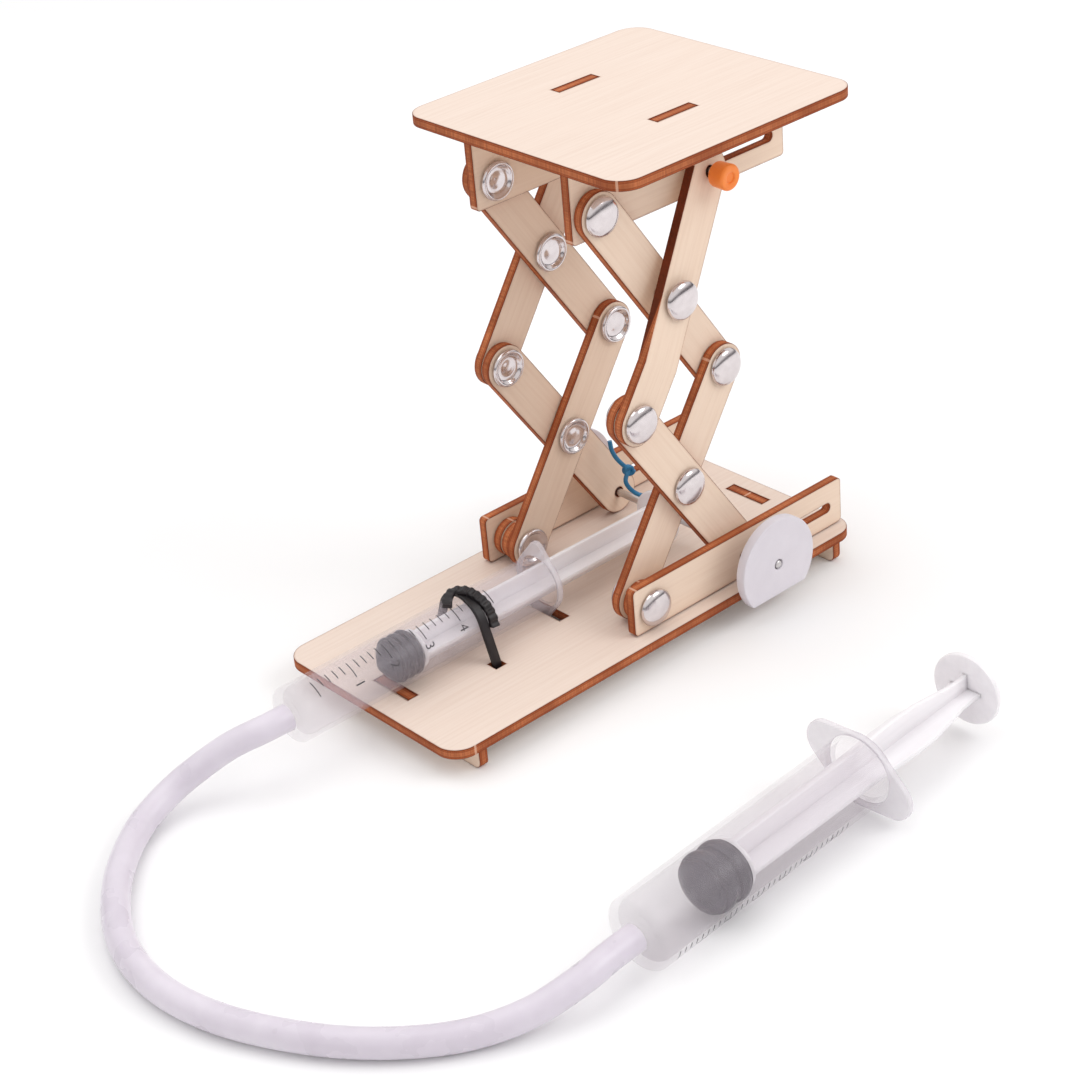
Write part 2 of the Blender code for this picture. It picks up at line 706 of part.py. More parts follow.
def make_bodies():
    """One empty on each joint's axis, hung in the order in which the bodies carry each other."""
    tree = (
        ("lower_fixed", "base", None),
        ("lower_sliding", "lower_middle", "lower_fixed"),
        ("upper_fixed", "rear_elbow", "lower_fixed"),
        ("upper_sliding", "upper_middle", "upper_fixed"),
        ("platform", "platform", "upper_fixed"),
        ("lower_axle", "lower_axle", "lower_sliding"),
    )
    bodies = {}
    for name, joint, above in tree:
        x, z = joint_place(joint)
        bodies[name] = pivot_empty(name + "_pivot", world(x, 0, z), bodies.get(above))
    return bodies


def main():
    clear_scene()
    bodies = make_bodies()
    make_base()
    make_feet()
    make_rails()
    make_zip_tie()
    make_arms(bodies)
    make_pivots(bodies)
    make_platform(bodies["platform"])
    make_lower_axle(bodies["lower_axle"])
    make_upper_axle(bodies["upper_sliding"])
    base_slide = pivot_empty("base_plunger_slide", world(BASE_FRONT_X, 0, BASE_AXIS_Z))
    make_base_syringe(base_slide)
    make_blue_tie(base_slide)
    hand_slide = pivot_empty("hand_plunger_slide", world(*HAND_FRONT, 0))
    hand_place, hand_axis = make_hand_syringe(hand_slide)
    make_hose(hand_place, hand_axis)


main()
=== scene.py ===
"""Looks of a plywood scissor-lift table and its two joined syringes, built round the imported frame.

Lengths are millimetres until a mesh or a place is made. In the working frame X runs from the front
of the base to its slotted rear end, +Y is the far side, and Z is 0 on the base plate's top.
"""

import json
from math import atan2, cos, hypot, pi, radians, sin

import bmesh
import bpy
from mathutils import Matrix, Vector
from mathutils.geometry import convex_hull_2d

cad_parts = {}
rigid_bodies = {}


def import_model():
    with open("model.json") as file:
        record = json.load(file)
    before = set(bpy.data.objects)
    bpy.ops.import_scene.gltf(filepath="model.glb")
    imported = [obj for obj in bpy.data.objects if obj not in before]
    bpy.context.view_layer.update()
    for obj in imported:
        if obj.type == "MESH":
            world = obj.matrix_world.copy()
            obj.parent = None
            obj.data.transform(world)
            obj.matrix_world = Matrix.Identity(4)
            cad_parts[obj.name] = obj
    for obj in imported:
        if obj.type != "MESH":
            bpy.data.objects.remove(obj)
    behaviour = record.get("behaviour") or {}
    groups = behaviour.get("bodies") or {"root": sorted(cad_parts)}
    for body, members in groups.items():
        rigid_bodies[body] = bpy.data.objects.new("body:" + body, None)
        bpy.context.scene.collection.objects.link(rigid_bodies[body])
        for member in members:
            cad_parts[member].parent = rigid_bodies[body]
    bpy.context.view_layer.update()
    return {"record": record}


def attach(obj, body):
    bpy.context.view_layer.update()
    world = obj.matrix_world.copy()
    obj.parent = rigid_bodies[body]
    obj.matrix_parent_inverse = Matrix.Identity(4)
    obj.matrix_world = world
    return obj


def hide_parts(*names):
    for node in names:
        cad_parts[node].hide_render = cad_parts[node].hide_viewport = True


MM = 0.001
MIDDLE = Vector((-12.05, -40.868, -8.5))

# Plywood and its layers across the table
PLY = 2.5
GAP = 0.3
PITCH = PLY + GAP
INNER_LAYER = 16.6
NEAR, FAR = -1, 1
SIDE_NAME = {NEAR: "near", FAR: "far"}
LAYER = {
    (NEAR, "hanger"): -1,
    (NEAR, "upper_fixed"): 0,
    (NEAR, "lower_fixed"): 1,
    (NEAR, "lower_sliding"): 2,
    (NEAR, "upper_sliding"): 3,
    (FAR, "hanger"): 0,
    (FAR, "lower_fixed"): 0,
    (FAR, "upper_fixed"): 1,
    (FAR, "lower_sliding"): 1,
    (FAR, "upper_sliding"): 2,
}

# Base
BASE_X = (-69.4, 66.8)
BASE_HALF_WIDTH = 32.5
CORNER = 6.0
FLOOR_Z = -8.5
FOOT_X = 60.4
FOOT_HALF_WIDTH = 31.3
FOOT_CORNER = 2
TAB_HALF = 6.2
RAIL_X = (-8.2, 65.7)
RAIL_INNER = 25.7
RAIL_TOP = 13.0
RAIL_CORNER = 1.2
RAIL_SLOT_X = (28.5, 61.6)
SLOT_HALF_HEIGHT = 1.3

# Scissor
ARM = 60.0
ARM_HALF_WIDTH = 5.75
REST_ANGLE = radians(55.8)
PIVOT_X = -1.5
PIVOT_Z = 6.05
RUN = ARM * cos(REST_ANGLE)
RISE = ARM * sin(REST_ANGLE)
HOLE_R = 1.8
FLEX_START = 14.0
FLEX_PER_MM = 0.155
PIVOTS = {
    "base": (PIVOT_X, PIVOT_Z),
    "lower_middle": (PIVOT_X + RUN / 2, PIVOT_Z + RISE / 2),
    "rear_elbow": (PIVOT_X + RUN, PIVOT_Z + RISE),
    "front_elbow": (PIVOT_X, PIVOT_Z + RISE),
    "upper_middle": (PIVOT_X + RUN / 2, PIVOT_Z + RISE * 1.5),
    "platform": (PIVOT_X, PIVOT_Z + RISE * 2),
    "lower_axle": (PIVOT_X + RUN, PIVOT_Z),
    "upper_axle": (PIVOT_X + RUN, PIVOT_Z + RISE * 2),
}

# Platform
PLATFORM_X = (-10.9, 65.0)
PLATFORM_HALF_WIDTH = 37.2
HANGER_X = (-7.8, 61.2)
HANGER_BELOW_PIVOT = 6.1
HANGER_CORNER = 1
HANGER_SLOT_X = (28.5, 57.5)
PLATFORM_ABOVE_PIVOT = 12.4

# Rivets, axles and discs
POST_R = 1.4
CAP_R = 4.8
CAP_HEIGHT = 2.2
SPACER_R = 5.0
AXLE_R = 1.0
AXLE_HOLE_R = 1.35
DISC_R = 12.5
DISC_Y = (35.2, 37.9)
DISC_FLAT_BELOW = 8.5
END_CAP_R = 3.2
END_CAP_LENGTH = 4.5
END_CAP_CLEARANCE = 1.5

# Syringes
BASE_FRONT_X = -90.9
BASE_AXIS_Z = 7.65
BASE_BARREL = {"radius": 7.0, "bore": 6.1, "length": 78.7, "shoulder": 2.4}
BASE_STOPPER = (29.5, 36.4)
BASE_THUMB = 118.3
BASE_THUMB_R = 7.2
HAND_FRONT = (-85.4, -108.05)
HAND_YAW = radians(2.2)
HAND_PITCH = radians(1.4)
HAND_WING_TILT = radians(22)
HAND_BARREL = {"radius": 8.6, "bore": 7.5, "length": 71.8, "shoulder": 1.9}
HAND_STOPPER = (19.2, 28.4)
HAND_THUMB = 109.0
HAND_THUMB_R = 9.0
WING_THICKNESS = 1.6
WING_SLOT_HALF = 8.1

# Zip tie and hose
TIE_X = -37.75
TIE_WIDTH = 2.4
TIE_HALF = 0.45
TIE_HOLE_Y = 10.8
TIE_HOLE = 3.1
HOSE_R = 3.25

FLAT = (0, 0, 0)
STANDING = (pi / 2, 0, 0)
CROSSWISE = (pi / 2, 0, pi / 2)
ALONG_X = (0, pi / 2, 0)
OUTWARD = {NEAR: (pi / 2, 0, 0), FAR: (-pi / 2, 0, 0)}

bpy.ops.object.select_all(action="SELECT")
bpy.ops.object.delete()
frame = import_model()
BODY_OF = {
    node: body
    for body, nodes in frame["record"]["behaviour"]["bodies"].items()
    for node in nodes
}


# ---------------------------------------------------------------- camera and light


def at(x, y, z):
    """A working-frame point, in metres in the frame's own axes."""
    return (Vector((x, y, z)) - MIDDLE) * MM


def add_camera():
    data = bpy.data.cameras.new("camera")
    data.sensor_width = 36
    data.lens = 79.43
    data.clip_start = 0.01
    data.clip_end = 20
    camera = bpy.data.objects.new("camera", data)
    right = Vector((0.73795, -0.67005, -0.08034))
    up = Vector((0.39196, 0.32866, 0.85927))
    back = Vector((-0.54935, -0.66559, 0.50517))
    turn = Matrix((right, up, back)).transposed().to_4x4()
    camera.matrix_world = Matrix.Translation((-0.32307, -0.35275, 0.32349)) @ turn
    bpy.context.collection.objects.link(camera)
    bpy.context.scene.camera = camera


def add_area_light(name, place, size, power):
    data = bpy.data.lights.new(name, "AREA")
    data.shape = "DISK"
    data.size = size
    data.energy = power
    light = bpy.data.objects.new(name, data)
    light.location = place
    light.rotation_euler = (Vector((0.01, 0.0, 0.04)) - Vector(place)).to_track_quat("-Z", "Y").to_euler()
    bpy.context.collection.objects.link(light)


def add_studio():
    scene = bpy.context.scene
    scene.view_settings.view_transform = "Standard"
    world = bpy.data.worlds.new("studio")
    scene.world = world
    world.use_nodes = True
    tree = world.node_tree
    direction = tree.nodes.new("ShaderNodeTexCoord").outputs["Generated"]
    split = tree.nodes.new("ShaderNodeSeparateXYZ")
    tree.links.new(direction, split.inputs[0])
    ramp = tree.nodes.new("ShaderNodeValToRGB")
    tree.links.new(split.outputs["Z"], ramp.inputs[0])
    ramp.color_ramp.elements[0].position = 0.06
    ramp.color_ramp.elements[0].color = (0.16, 0.15, 0.16, 1)
    ramp.color_ramp.elements[1].position = 0.30
    ramp.color_ramp.elements[1].color = (1.0, 0.99, 0.985, 1)
    background = tree.nodes["Background"]
    tree.links.new(ramp.outputs[0], background.inputs["Color"])
    background.inputs["Strength"].default_value = 0.92
    add_area_light("key", (0.55, -0.75, 0.85), 0.7, 3.7)
    add_area_light("top", (-0.15, 0.25, 1.0), 0.9, 2.3)

    mesh = bpy.data.meshes.new("floor")
    half = 4.0
    corners = [(-half, -half, 0), (half, -half, 0), (half, half, 0), (-half, half, 0)]
    mesh.from_pydata(corners, [], [(0, 1, 2, 3)])
    floor = bpy.data.objects.new("floor", mesh)
    paint = bpy.data.materials.new("floor_paper")
    paint.use_nodes = True
    shader = paint.node_tree.nodes["Principled BSDF"]
    shader.inputs["Base Color"].default_value = (0.93, 0.93, 0.935, 1)
    shader.inputs["Roughness"].default_value = 0.9
    shader.inputs["Specular IOR Level"].default_value = 0.2
    mesh.materials.append(paint)
    bpy.context.collection.objects.link(floor)


# ---------------------------------------------------------------- materials


class Paint:
    """A Principled material and short ways to add nodes to it."""

    def __init__(self, name, **settings):
        self.material = bpy.data.materials.new(name)
        self.material.use_nodes = True
        self.tree = self.material.node_tree
        self.shader = self.tree.nodes["Principled BSDF"]
        for key, value in settings.items():
            self.shader.inputs[key.replace("_", " ")].default_value = value

    def node(self, kind, inputs=None, **settings):
        made = self.tree.nodes.new("ShaderNode" + kind)
        for key, value in settings.items():
            setattr(made, key, value)
        for key, value in (inputs or {}).items():
            if isinstance(value, bpy.types.NodeSocket):
                self.tree.links.new(value, made.inputs[key])
            else:
                made.inputs[key].default_value = value
        return made

    def place(self, scale=(1, 1, 1), shift=(0, 0, 0)):
        """Object coordinates in millimetres, moved by shift and then scaled."""
        where = self.node("TexCoord").outputs["Object"]
        scaled = tuple(1000 * s for s in scale)
        moved = tuple(m * s for m, s in zip(shift, scale))
        return self.node("Mapping", {"Vector": where, "Scale": scaled, "Location": moved}).outputs[0]

    def noise(self, vector, detail):
        made = self.node("TexNoise", {"Vector": vector, "Scale": 1.0, "Detail": detail, "Roughness": 0.55})
        return made.outputs["Fac"]

    def ramp(self, value, *stops):
        made = self.node("ValToRGB", {"Fac": value})
        ends = made.color_ramp.elements
        while len(ends) < len(stops):
            ends.new(0.5)
        for end, (position, colour) in zip(ends, stops):
            end.position = position
            end.color = (*colour, 1)
        return made.outputs[0]

    def maths(self, operation, first, second=0.0, clamp=False):
        made = self.node("Math", {0: first, 1: second}, operation=operation, use_clamp=clamp)
        return made.outputs[0]

    def mix(self, share, first, second, blend="MIX"):
        made = self.node("Mix", data_type="RGBA", blend_type=blend)
        for key, value in ((0, share), (6, first), (7, second)):
            if isinstance(value, bpy.types.NodeSocket):
                self.tree.links.new(value, made.inputs[key])
            else:
                made.inputs[key].default_value = value
        return made.outputs[2]

    def spread(self, value, low, high):
        """A value from 0 to 1 brought to the range from low to high."""
        return self.node("MapRange", {"Value": value, "To Min": low, "To Max": high}).outputs[0]

    def use(self, key, value):
        self.tree.links.new(value, self.shader.inputs[key])

    def bump(self, height, distance, strength):
        made = self.node("Bump", {"Height": height, "Distance": distance * MM, "Strength": strength})
        self.use("Normal", made.outputs[0])


def wood_face(seed, painted_light_tint):
    """Birch veneer with its grain along the piece's X, browned where the smoke of a cut reached, and
    multiplied by a tint of painted light that warms upright pieces and cools flat plates.
    """
    paint = Paint(f"birch_face_{seed}", Roughness=0.62, Specular_IOR_Level=0.3)
    shift = (seed * 37.0, seed * 11.3, seed * 5.7)
    streaks = paint.noise(paint.place((0.035, 1.3, 0.3), shift), detail=5)
    fine = paint.noise(paint.place((0.12, 5.5, 1.0), shift), detail=2)
    clouds = paint.noise(paint.place((0.035, 0.06, 0.06), shift), detail=2)
    veneer = [(0.32, (0.775, 0.63, 0.52)), (0.52, (0.815, 0.68, 0.57)), (0.72, (0.84, 0.715, 0.61))]
    colour = paint.ramp(streaks, *veneer)
    colour = paint.mix(paint.spread(clouds, 0.0, 0.5), colour, (0.83, 0.68, 0.565, 1))
    pores = paint.maths("GREATER_THAN", fine, 0.70)
    colour = paint.mix(paint.maths("MULTIPLY", pores, 0.14), colour, (0.50, 0.33, 0.21, 1))
    scorch = paint.node("Attribute", attribute_name="scorch").outputs["Fac"]
    patches = paint.noise(paint.place((0.5, 0.5, 0.5), shift), detail=3)
    depth = paint.maths("MULTIPLY", paint.maths("POWER", scorch, 2.2), paint.spread(patches, 0.1, 1.1))
    colour = paint.mix(paint.maths("MULTIPLY", depth, 0.75, clamp=True), colour, (0.33, 0.13, 0.06, 1))
    # Painted light: the veneer colour is multiplied by the piece's tint, warm on upright pieces as painted
    # bounce light and cool on flat plates.
    paint.use("Base Color", paint.mix(1.0, colour, (*painted_light_tint, 1), "MULTIPLY"))
    paint.use("Roughness", paint.spread(streaks, 0.52, 0.72))
    paint.bump(paint.maths("ADD", streaks, paint.maths("MULTIPLY", fine, 0.4)), 0.03, 0.6)
    return paint.material


def burnt_edge(seed, thickness, tick, least_char):
    """The laser's cut: three red-brown plies under patchy char, with a paler tick where the cut closed."""
    paint = Paint(f"burnt_edge_{seed}", Roughness=0.7, Specular_IOR_Level=0.15)
    shift = (seed * 23.0, seed * 7.1, 0.0)
    kerf = paint.noise(paint.place((2.2, 2.2, 0.12), shift), detail=2)
    slow = paint.noise(paint.place((0.07, 0.07, 0.07), shift), detail=2)
    place = paint.node("SeparateXYZ", {0: paint.place()})
    depth = paint.maths("ABSOLUTE", place.outputs["Z"])
    depth = paint.maths("DIVIDE", depth, thickness / 2)
    wavy = paint.maths("ADD", depth, paint.spread(kerf, -0.16, 0.16))
    plies = paint.ramp(
        wavy,
        (0.0, (0.66, 0.21, 0.08)),
        (0.40, (0.72, 0.255, 0.105)),
        (0.50, (0.33, 0.065, 0.02)),
        (0.66, (0.58, 0.165, 0.06)),
        (0.84, (0.46, 0.12, 0.042)),
        (0.97, (0.12, 0.024, 0.008)),
    )
    dark = paint.ramp(kerf, (0.3, (0.42, 0.38, 0.36)), (0.65, (1.0, 1.0, 1.0)))
    colour = paint.mix(0.7, plies, dark, "MULTIPLY")
    char = paint.ramp(slow, (0.40, (least_char,) * 3), (0.60, (0.35 + least_char,) * 3))
    colour = paint.mix(char, colour, (0.19, 0.034, 0.010, 1))
    offset = paint.node("VectorMath", {0: paint.place(), 1: (*tick, 0)}, operation="SUBTRACT").outputs[0]
    flat = paint.node("VectorMath", {0: offset, 1: (1, 1, 0)}, operation="MULTIPLY").outputs[0]
    away = paint.node("VectorMath", {0: flat}, operation="LENGTH").outputs["Value"]
    at_tick = paint.maths("MULTIPLY", paint.maths("LESS_THAN", away, 0.3), 0.6)
    colour = paint.mix(at_tick, colour, (0.78, 0.50, 0.36, 1))
    paint.use("Base Color", colour)
    paint.use("Roughness", paint.spread(kerf, 0.55, 0.85))
    paint.bump(kerf, 0.05, 0.7)
    return paint.material


def nickel():
    paint = Paint("nickel_plate", Metallic=1.0, Roughness=0.11)
    haze = paint.noise(paint.place((0.5, 0.5, 0.5)), detail=4)
    # Painted reflection: the nickel colour is tinted pink-grey to stand in for the warm wood the caps
    # reflect; the noise makes that tint uneven.
    paint.use("Base Color", paint.ramp(haze, (0.3, (0.64, 0.585, 0.59)), (0.7, (0.74, 0.685, 0.69))))
    paint.use("Roughness", paint.spread(haze, 0.08, 0.24))
    paint.bump(paint.noise(paint.place((0.35, 0.35, 0.35)), detail=1), 0.05, 0.35)
    return paint.material


def steel():
    paint = Paint("drawn_steel", Metallic=1.0, Roughness=0.3)
    lines = paint.noise(paint.place((6, 6, 0.15)), detail=3)
    paint.use("Base Color", paint.ramp(lines, (0.3, (0.50, 0.48, 0.48)), (0.7, (0.72, 0.70, 0.70))))
    paint.use("Roughness", paint.spread(lines, 0.2, 0.42))
    paint.bump(lines, 0.02, 0.5)
    return paint.material


def polypropylene(name, alpha, colour):
    """Milky moulded plastic with faint flow lines along its length, seen through below alpha 1."""
    paint = Paint(name, Alpha=alpha, IOR=1.45, Roughness=0.22)
    flow = paint.noise(paint.place((0.35, 0.35, 0.03)), detail=3)
    low = tuple(0.93 * c for c in colour)
    paint.use("Base Color", paint.ramp(flow, (0.3, low), (0.7, colour)))
    paint.use("Roughness", paint.spread(flow, 0.16, 0.32))
    paint.bump(paint.noise(paint.place((0.25, 0.25, 0.08)), detail=2), 0.06, 0.35)
    if alpha == 1:
        paint.shader.inputs["Subsurface Weight"].default_value = 0.5
        paint.shader.inputs["Subsurface Radius"].default_value = (1.0, 0.95, 0.95)
        paint.shader.inputs["Subsurface Scale"].default_value = 2.5 * MM
    return paint.material


def moulded(name, colour, dark, roughness, grain=1.2, depth=0.03):
    """Opaque plastic or rubber with a slight mottle and an eggshell grain."""
    paint = Paint(name, Roughness=roughness)
    mottle = paint.noise(paint.place((0.18, 0.18, 0.18)), detail=3)
    skin = paint.noise(paint.place((grain, grain, grain)), detail=3)
    paint.use("Base Color", paint.ramp(mottle, (0.3, dark), (0.7, colour)))
    paint.use("Roughness", paint.spread(skin, roughness - 0.08, roughness + 0.1))
    paint.bump(skin, depth, 0.6)
    return paint.material


# ---------------------------------------------------------------- shapes


def arc(x, y, radius, start, end, steps):
    turn = (end - start) / steps
    angles = [start + i * turn for i in range(steps + 1)]
    return [(x + radius * cos(angle), y + radius * sin(angle)) for angle in angles]


def circle(x, y, radius, steps=48):
    return arc(x, y, radius, 0, 2 * pi, steps)[:-1]


def rounded_box(x0, y0, x1, y1, radius):
    steps = 14
    return (
        arc(x1 - radius, y0 + radius, radius, -pi / 2, 0, steps)
        + arc(x1 - radius, y1 - radius, radius, 0, pi / 2, steps)
        + arc(x0 + radius, y1 - radius, radius, pi / 2, pi, steps)
        + arc(x0 + radius, y0 + radius, radius, pi, 3 * pi / 2, steps)
    )


def box(x0, y0, x1, y1):
    return [(x0, y0), (x1, y0), (x1, y1), (x0, y1)]


def slot(x0, x1, y, half_height):
    right = arc(x1 - half_height, y, half_height, -pi / 2, pi / 2, 16)
    return right + arc(x0 + half_height, y, half_height, pi / 2, 3 * pi / 2, 16)


def offset(points, amount):
    """A closed outline moved to its left, with mitred corners."""
    moved = []
    for before, point, after in zip(points[-1:] + points[:-1], points, points[1:] + points[:1]):
        arriving = (point - before).normalized()
        leaving = (after - point).normalized()
        side = Vector((-arriving.y, arriving.x))
        middle = (side + Vector((-leaving.y, leaving.x))).normalized()
        moved.append(point + middle * amount / max(0.4, middle.dot(side)))
    return moved


def loop(points, turn):
    """The outline as vectors without repeated points, anticlockwise for turn 1 and clockwise for -1."""
    points = [Vector(point) for point in points]
    kept = [p for p, q in zip(points, points[1:] + points[:1]) if (p - q).length > 0.01]
    area = sum(p.cross(q) for p, q in zip(kept, kept[1:] + kept[:1]))
    return kept if area * turn > 0 else kept[::-1]


def sheet_mesh(outline, holes=(), thickness=PLY, rim=0.12, scorch=0.6):
    """A flat outline with holes and eased rims. Its walls take the second material, and the attribute
    called scorch is 1 along every cut and fades to 0 across a band of that width."""
    half = thickness / 2
    top = [(0, half - rim), (0.29 * rim, half - 0.29 * rim), (rim, half), (rim + scorch, half)]
    levels = [(inward, -height) for inward, height in reversed(top)] + top
    shape = bmesh.new()
    layer = shape.verts.layers.float.new("scorch")
    ends = ([], [])
    for points in [loop(outline, 1), *[loop(hole, -1) for hole in holes]]:
        rings = []
        for inward, height in levels:
            rings.append([shape.verts.new((p.x, p.y, height)) for p in offset(points, inward)])
        for ring in rings[1:-1]:
            for vert in ring:
                vert[layer] = 1.0
        for level, (low, high) in enumerate(zip(rings, rings[1:])):
            for i in range(len(low)):
                j = (i + 1) % len(low)
                face = shape.faces.new((low[i], low[j], high[j], high[i]))
                face.material_index = 0 if level in (0, len(levels) - 2) else 1
        for end, ring in zip(ends, (rings[0], rings[-1])):
            end.extend(shape.edges.get((a, b)) for a, b in zip(ring, ring[1:] + ring[:1]))
    for edges, facing in zip(ends, (-1, 1)):
        bmesh.ops.triangle_fill(shape, edges=edges, use_beauty=True, normal=(0, 0, facing))
    bmesh.ops.recalc_face_normals(shape, faces=shape.faces)
    mesh = bpy.data.meshes.new("sheet")
    shape.to_mesh(mesh)
    shape.free()
    return mesh


def turned_mesh(profile, steps=64):
    """Turns (radius, height) points about Z. The profile starts and ends on the axis."""
    shape = bmesh.new()
    rings = []
    for radius, height in profile:
        if radius < 1e-6:
            rings.append([shape.verts.new((0, 0, height))])
            continue
        rings.append([shape.verts.new((x, y, height)) for x, y in circle(0, 0, radius, steps)])
    for low, high in zip(rings, rings[1:]):
        for i in range(steps):
            j = (i + 1) % steps
            corners = [low[i % len(low)], low[j % len(low)], high[j % len(high)], high[i % len(high)]]
            distinct = list(dict.fromkeys(corners))
            if len(distinct) > 2:
                shape.faces.new(distinct)
    bmesh.ops.recalc_face_normals(shape, faces=shape.faces)
    mesh = bpy.data.meshes.new("turned")
    shape.to_mesh(mesh)
    shape.free()
    return mesh


def joined(*meshes):
    shape = bmesh.new()
    for mesh in meshes:
        shape.from_mesh(mesh)
        bpy.data.meshes.remove(mesh)
    whole = bpy.data.meshes.new("joined")
    shape.to_mesh(whole)
    shape.free()
    return whole


def lifted(mesh, height):
    mesh.transform(Matrix.Translation((0, 0, height)))
    return mesh


def smooth_path(route, spacing):
    """Points about spacing apart on the Catmull-Rom curve through the route."""
    ends = [2 * route[0] - route[1], *route, 2 * route[-1] - route[-2]]
    points = []
    for before, start, end, after in zip(ends, ends[1:], ends[2:], ends[3:]):
        steps = max(1, round((end - start).length / spacing))
        for i in range(steps):
            t = i / steps
            bend = 2 * before - 5 * start + 4 * end - after
            twist = 3 * start - before - 3 * end + after
            points.append(0.5 * (2 * start + (end - before) * t + bend * t**2 + twist * t**3))
    return [*points, route[-1]]


def add(name, mesh, materials, location, rotation=(0, 0, 0), angle=38):
    mesh.name = name
    mesh.transform(Matrix.Scale(MM, 4))
    for material in materials:
        mesh.materials.append(material)
    mesh.shade_smooth()
    mesh.set_sharp_from_angle(angle=radians(angle))
    obj = bpy.data.objects.new(name, mesh)
    obj.location = location
    obj.rotation_euler = rotation
    bpy.context.collection.objects.link(obj)
    return obj


def settle(obj, slot_name, body, *nodes):
    """The piece stands for these CAD nodes and rides on this body. Its slot_name is not used."""
    if nodes:
        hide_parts(*nodes)
    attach(obj, body)
    return obj


def add_tube(name, points, radius, material, resolution=10):
    curve = bpy.data.curves.new(name, "CURVE")
    curve.dimensions = "3D"
    curve.bevel_depth = radius * MM
    curve.bevel_resolution = resolution
    curve.use_fill_caps = True
    spline = curve.splines.new("POLY")
    spline.points.add(len(points) - 1)
    spline.use_smooth = True
    for point, place in zip(spline.points, points):
        point.co = (*place, 1)
    curve.materials.append(material)
    obj = bpy.data.objects.new(name, curve)
    bpy.context.collection.objects.link(obj)
    return obj


# ---------------------------------------------------------------- plywood

wood_count = 0
# Painted light tints: upright pieces are warmed and flat plates cooled, standing in for how the light falls
# on each.
UPRIGHT_PAINTED_LIGHT_TINT = (1.02, 0.965, 0.915)
PLATE_PAINTED_LIGHT_TINT = (0.965, 0.965, 1.0)
UPRIGHT_CHAR = 0.2
PLATE_CHAR = 0.27
RAIL_CHAR = 0.15


def add_wood(node, mesh, location, rotation, tick, painted_light_tint=UPRIGHT_PAINTED_LIGHT_TINT, least_char=UPRIGHT_CHAR):
    global wood_count
    wood_count += 1
    materials = [wood_face(wood_count, painted_light_tint), burnt_edge(wood_count, PLY, tick, least_char)]
    obj = add(node + "_ply", mesh, materials, location, rotation)
    return settle(obj, "ply", BODY_OF[node], node)


def layer_faces(side, part):
    inner = INNER_LAYER + LAYER[side, part] * PITCH
    return inner, inner + PLY


def flat_place(x, z, side, inner, outer):
    return at(x, side * (inner + outer) / 2, z)


def make_base():
    plate = rounded_box(BASE_X[0], -BASE_HALF_WIDTH, BASE_X[1], BASE_HALF_WIDTH, CORNER)
    half_slot = PLY / 2 + GAP
    holes = [box(x - half_slot, -TAB_HALF - GAP, x + half_slot, TAB_HALF + GAP) for x in (-FOOT_X, FOOT_X)]
    wing_x = BASE_FRONT_X + BASE_BARREL["length"] - WING_THICKNESS / 2 - GAP
    holes.append(box(wing_x - half_slot, -WING_SLOT_HALF, wing_x + half_slot, WING_SLOT_HALF))
    half_hole = TIE_HOLE / 2
    for y in (-TIE_HOLE_Y, TIE_HOLE_Y):
        holes.append(box(TIE_X - half_hole, y - half_hole, TIE_X + half_hole, y + half_hole))
    tick = (BASE_X[0] + CORNER, -BASE_HALF_WIDTH)
    place = at(0, 0, -PLY / 2)
    add_wood("base_plate", sheet_mesh(plate, holes), place, FLAT, tick, PLATE_PAINTED_LIGHT_TINT, PLATE_CHAR)

    top = -PLY - GAP
    end = FOOT_HALF_WIDTH - FOOT_CORNER
    low = FLOOR_Z + FOOT_CORNER
    board = (
        arc(-end, low, FOOT_CORNER, pi, 3 * pi / 2, 8)
        + arc(end, low, FOOT_CORNER, 3 * pi / 2, 2 * pi, 8)
        + [(FOOT_HALF_WIDTH, top), (TAB_HALF, top), (TAB_HALF, 0), (-TAB_HALF, 0), (-TAB_HALF, top)]
        + [(-FOOT_HALF_WIDTH, top)]
    )
    for node, x in (("front_foot", -FOOT_X), ("rear_foot", FOOT_X)):
        add_wood(node, sheet_mesh(board), at(x, 0, 0), CROSSWISE, (0, 0))

    rail = rounded_box(RAIL_X[0], GAP, RAIL_X[1], RAIL_TOP, RAIL_CORNER)
    holes = [circle(PIVOT_X, PIVOT_Z, HOLE_R), slot(*RAIL_SLOT_X, PIVOT_Z, SLOT_HALF_HEIGHT)]
    tick = (RAIL_X[0] + RAIL_CORNER, RAIL_TOP)
    for side, side_name in SIDE_NAME.items():
        place = flat_place(0, 0, side, RAIL_INNER, RAIL_INNER + PLY)
        mesh = sheet_mesh(rail, holes)
        add_wood(side_name + "_rail", mesh, place, STANDING, tick, least_char=RAIL_CHAR)


def flexed(distance):
    """How far in the near upper sliding arm lies at a distance from its lower end."""
    return FLEX_PER_MM * max(0.0, distance - FLEX_START)


def flex(mesh):
    """Cuts the arm at several places after its flex starts, and shears it inwards from there."""
    shape = bmesh.new()
    shape.from_mesh(mesh)
    for cut in (FLEX_START - 2, FLEX_START, FLEX_START + 2):
        everything = shape.verts[:] + shape.edges[:] + shape.faces[:]
        bmesh.ops.bisect_plane(shape, geom=everything, plane_co=(cut, 0, 0), plane_no=(1, 0, 0))
    for vert in shape.verts:
        vert.co.z -= flexed(vert.co.x)
    shape.to_mesh(mesh)
    shape.free()


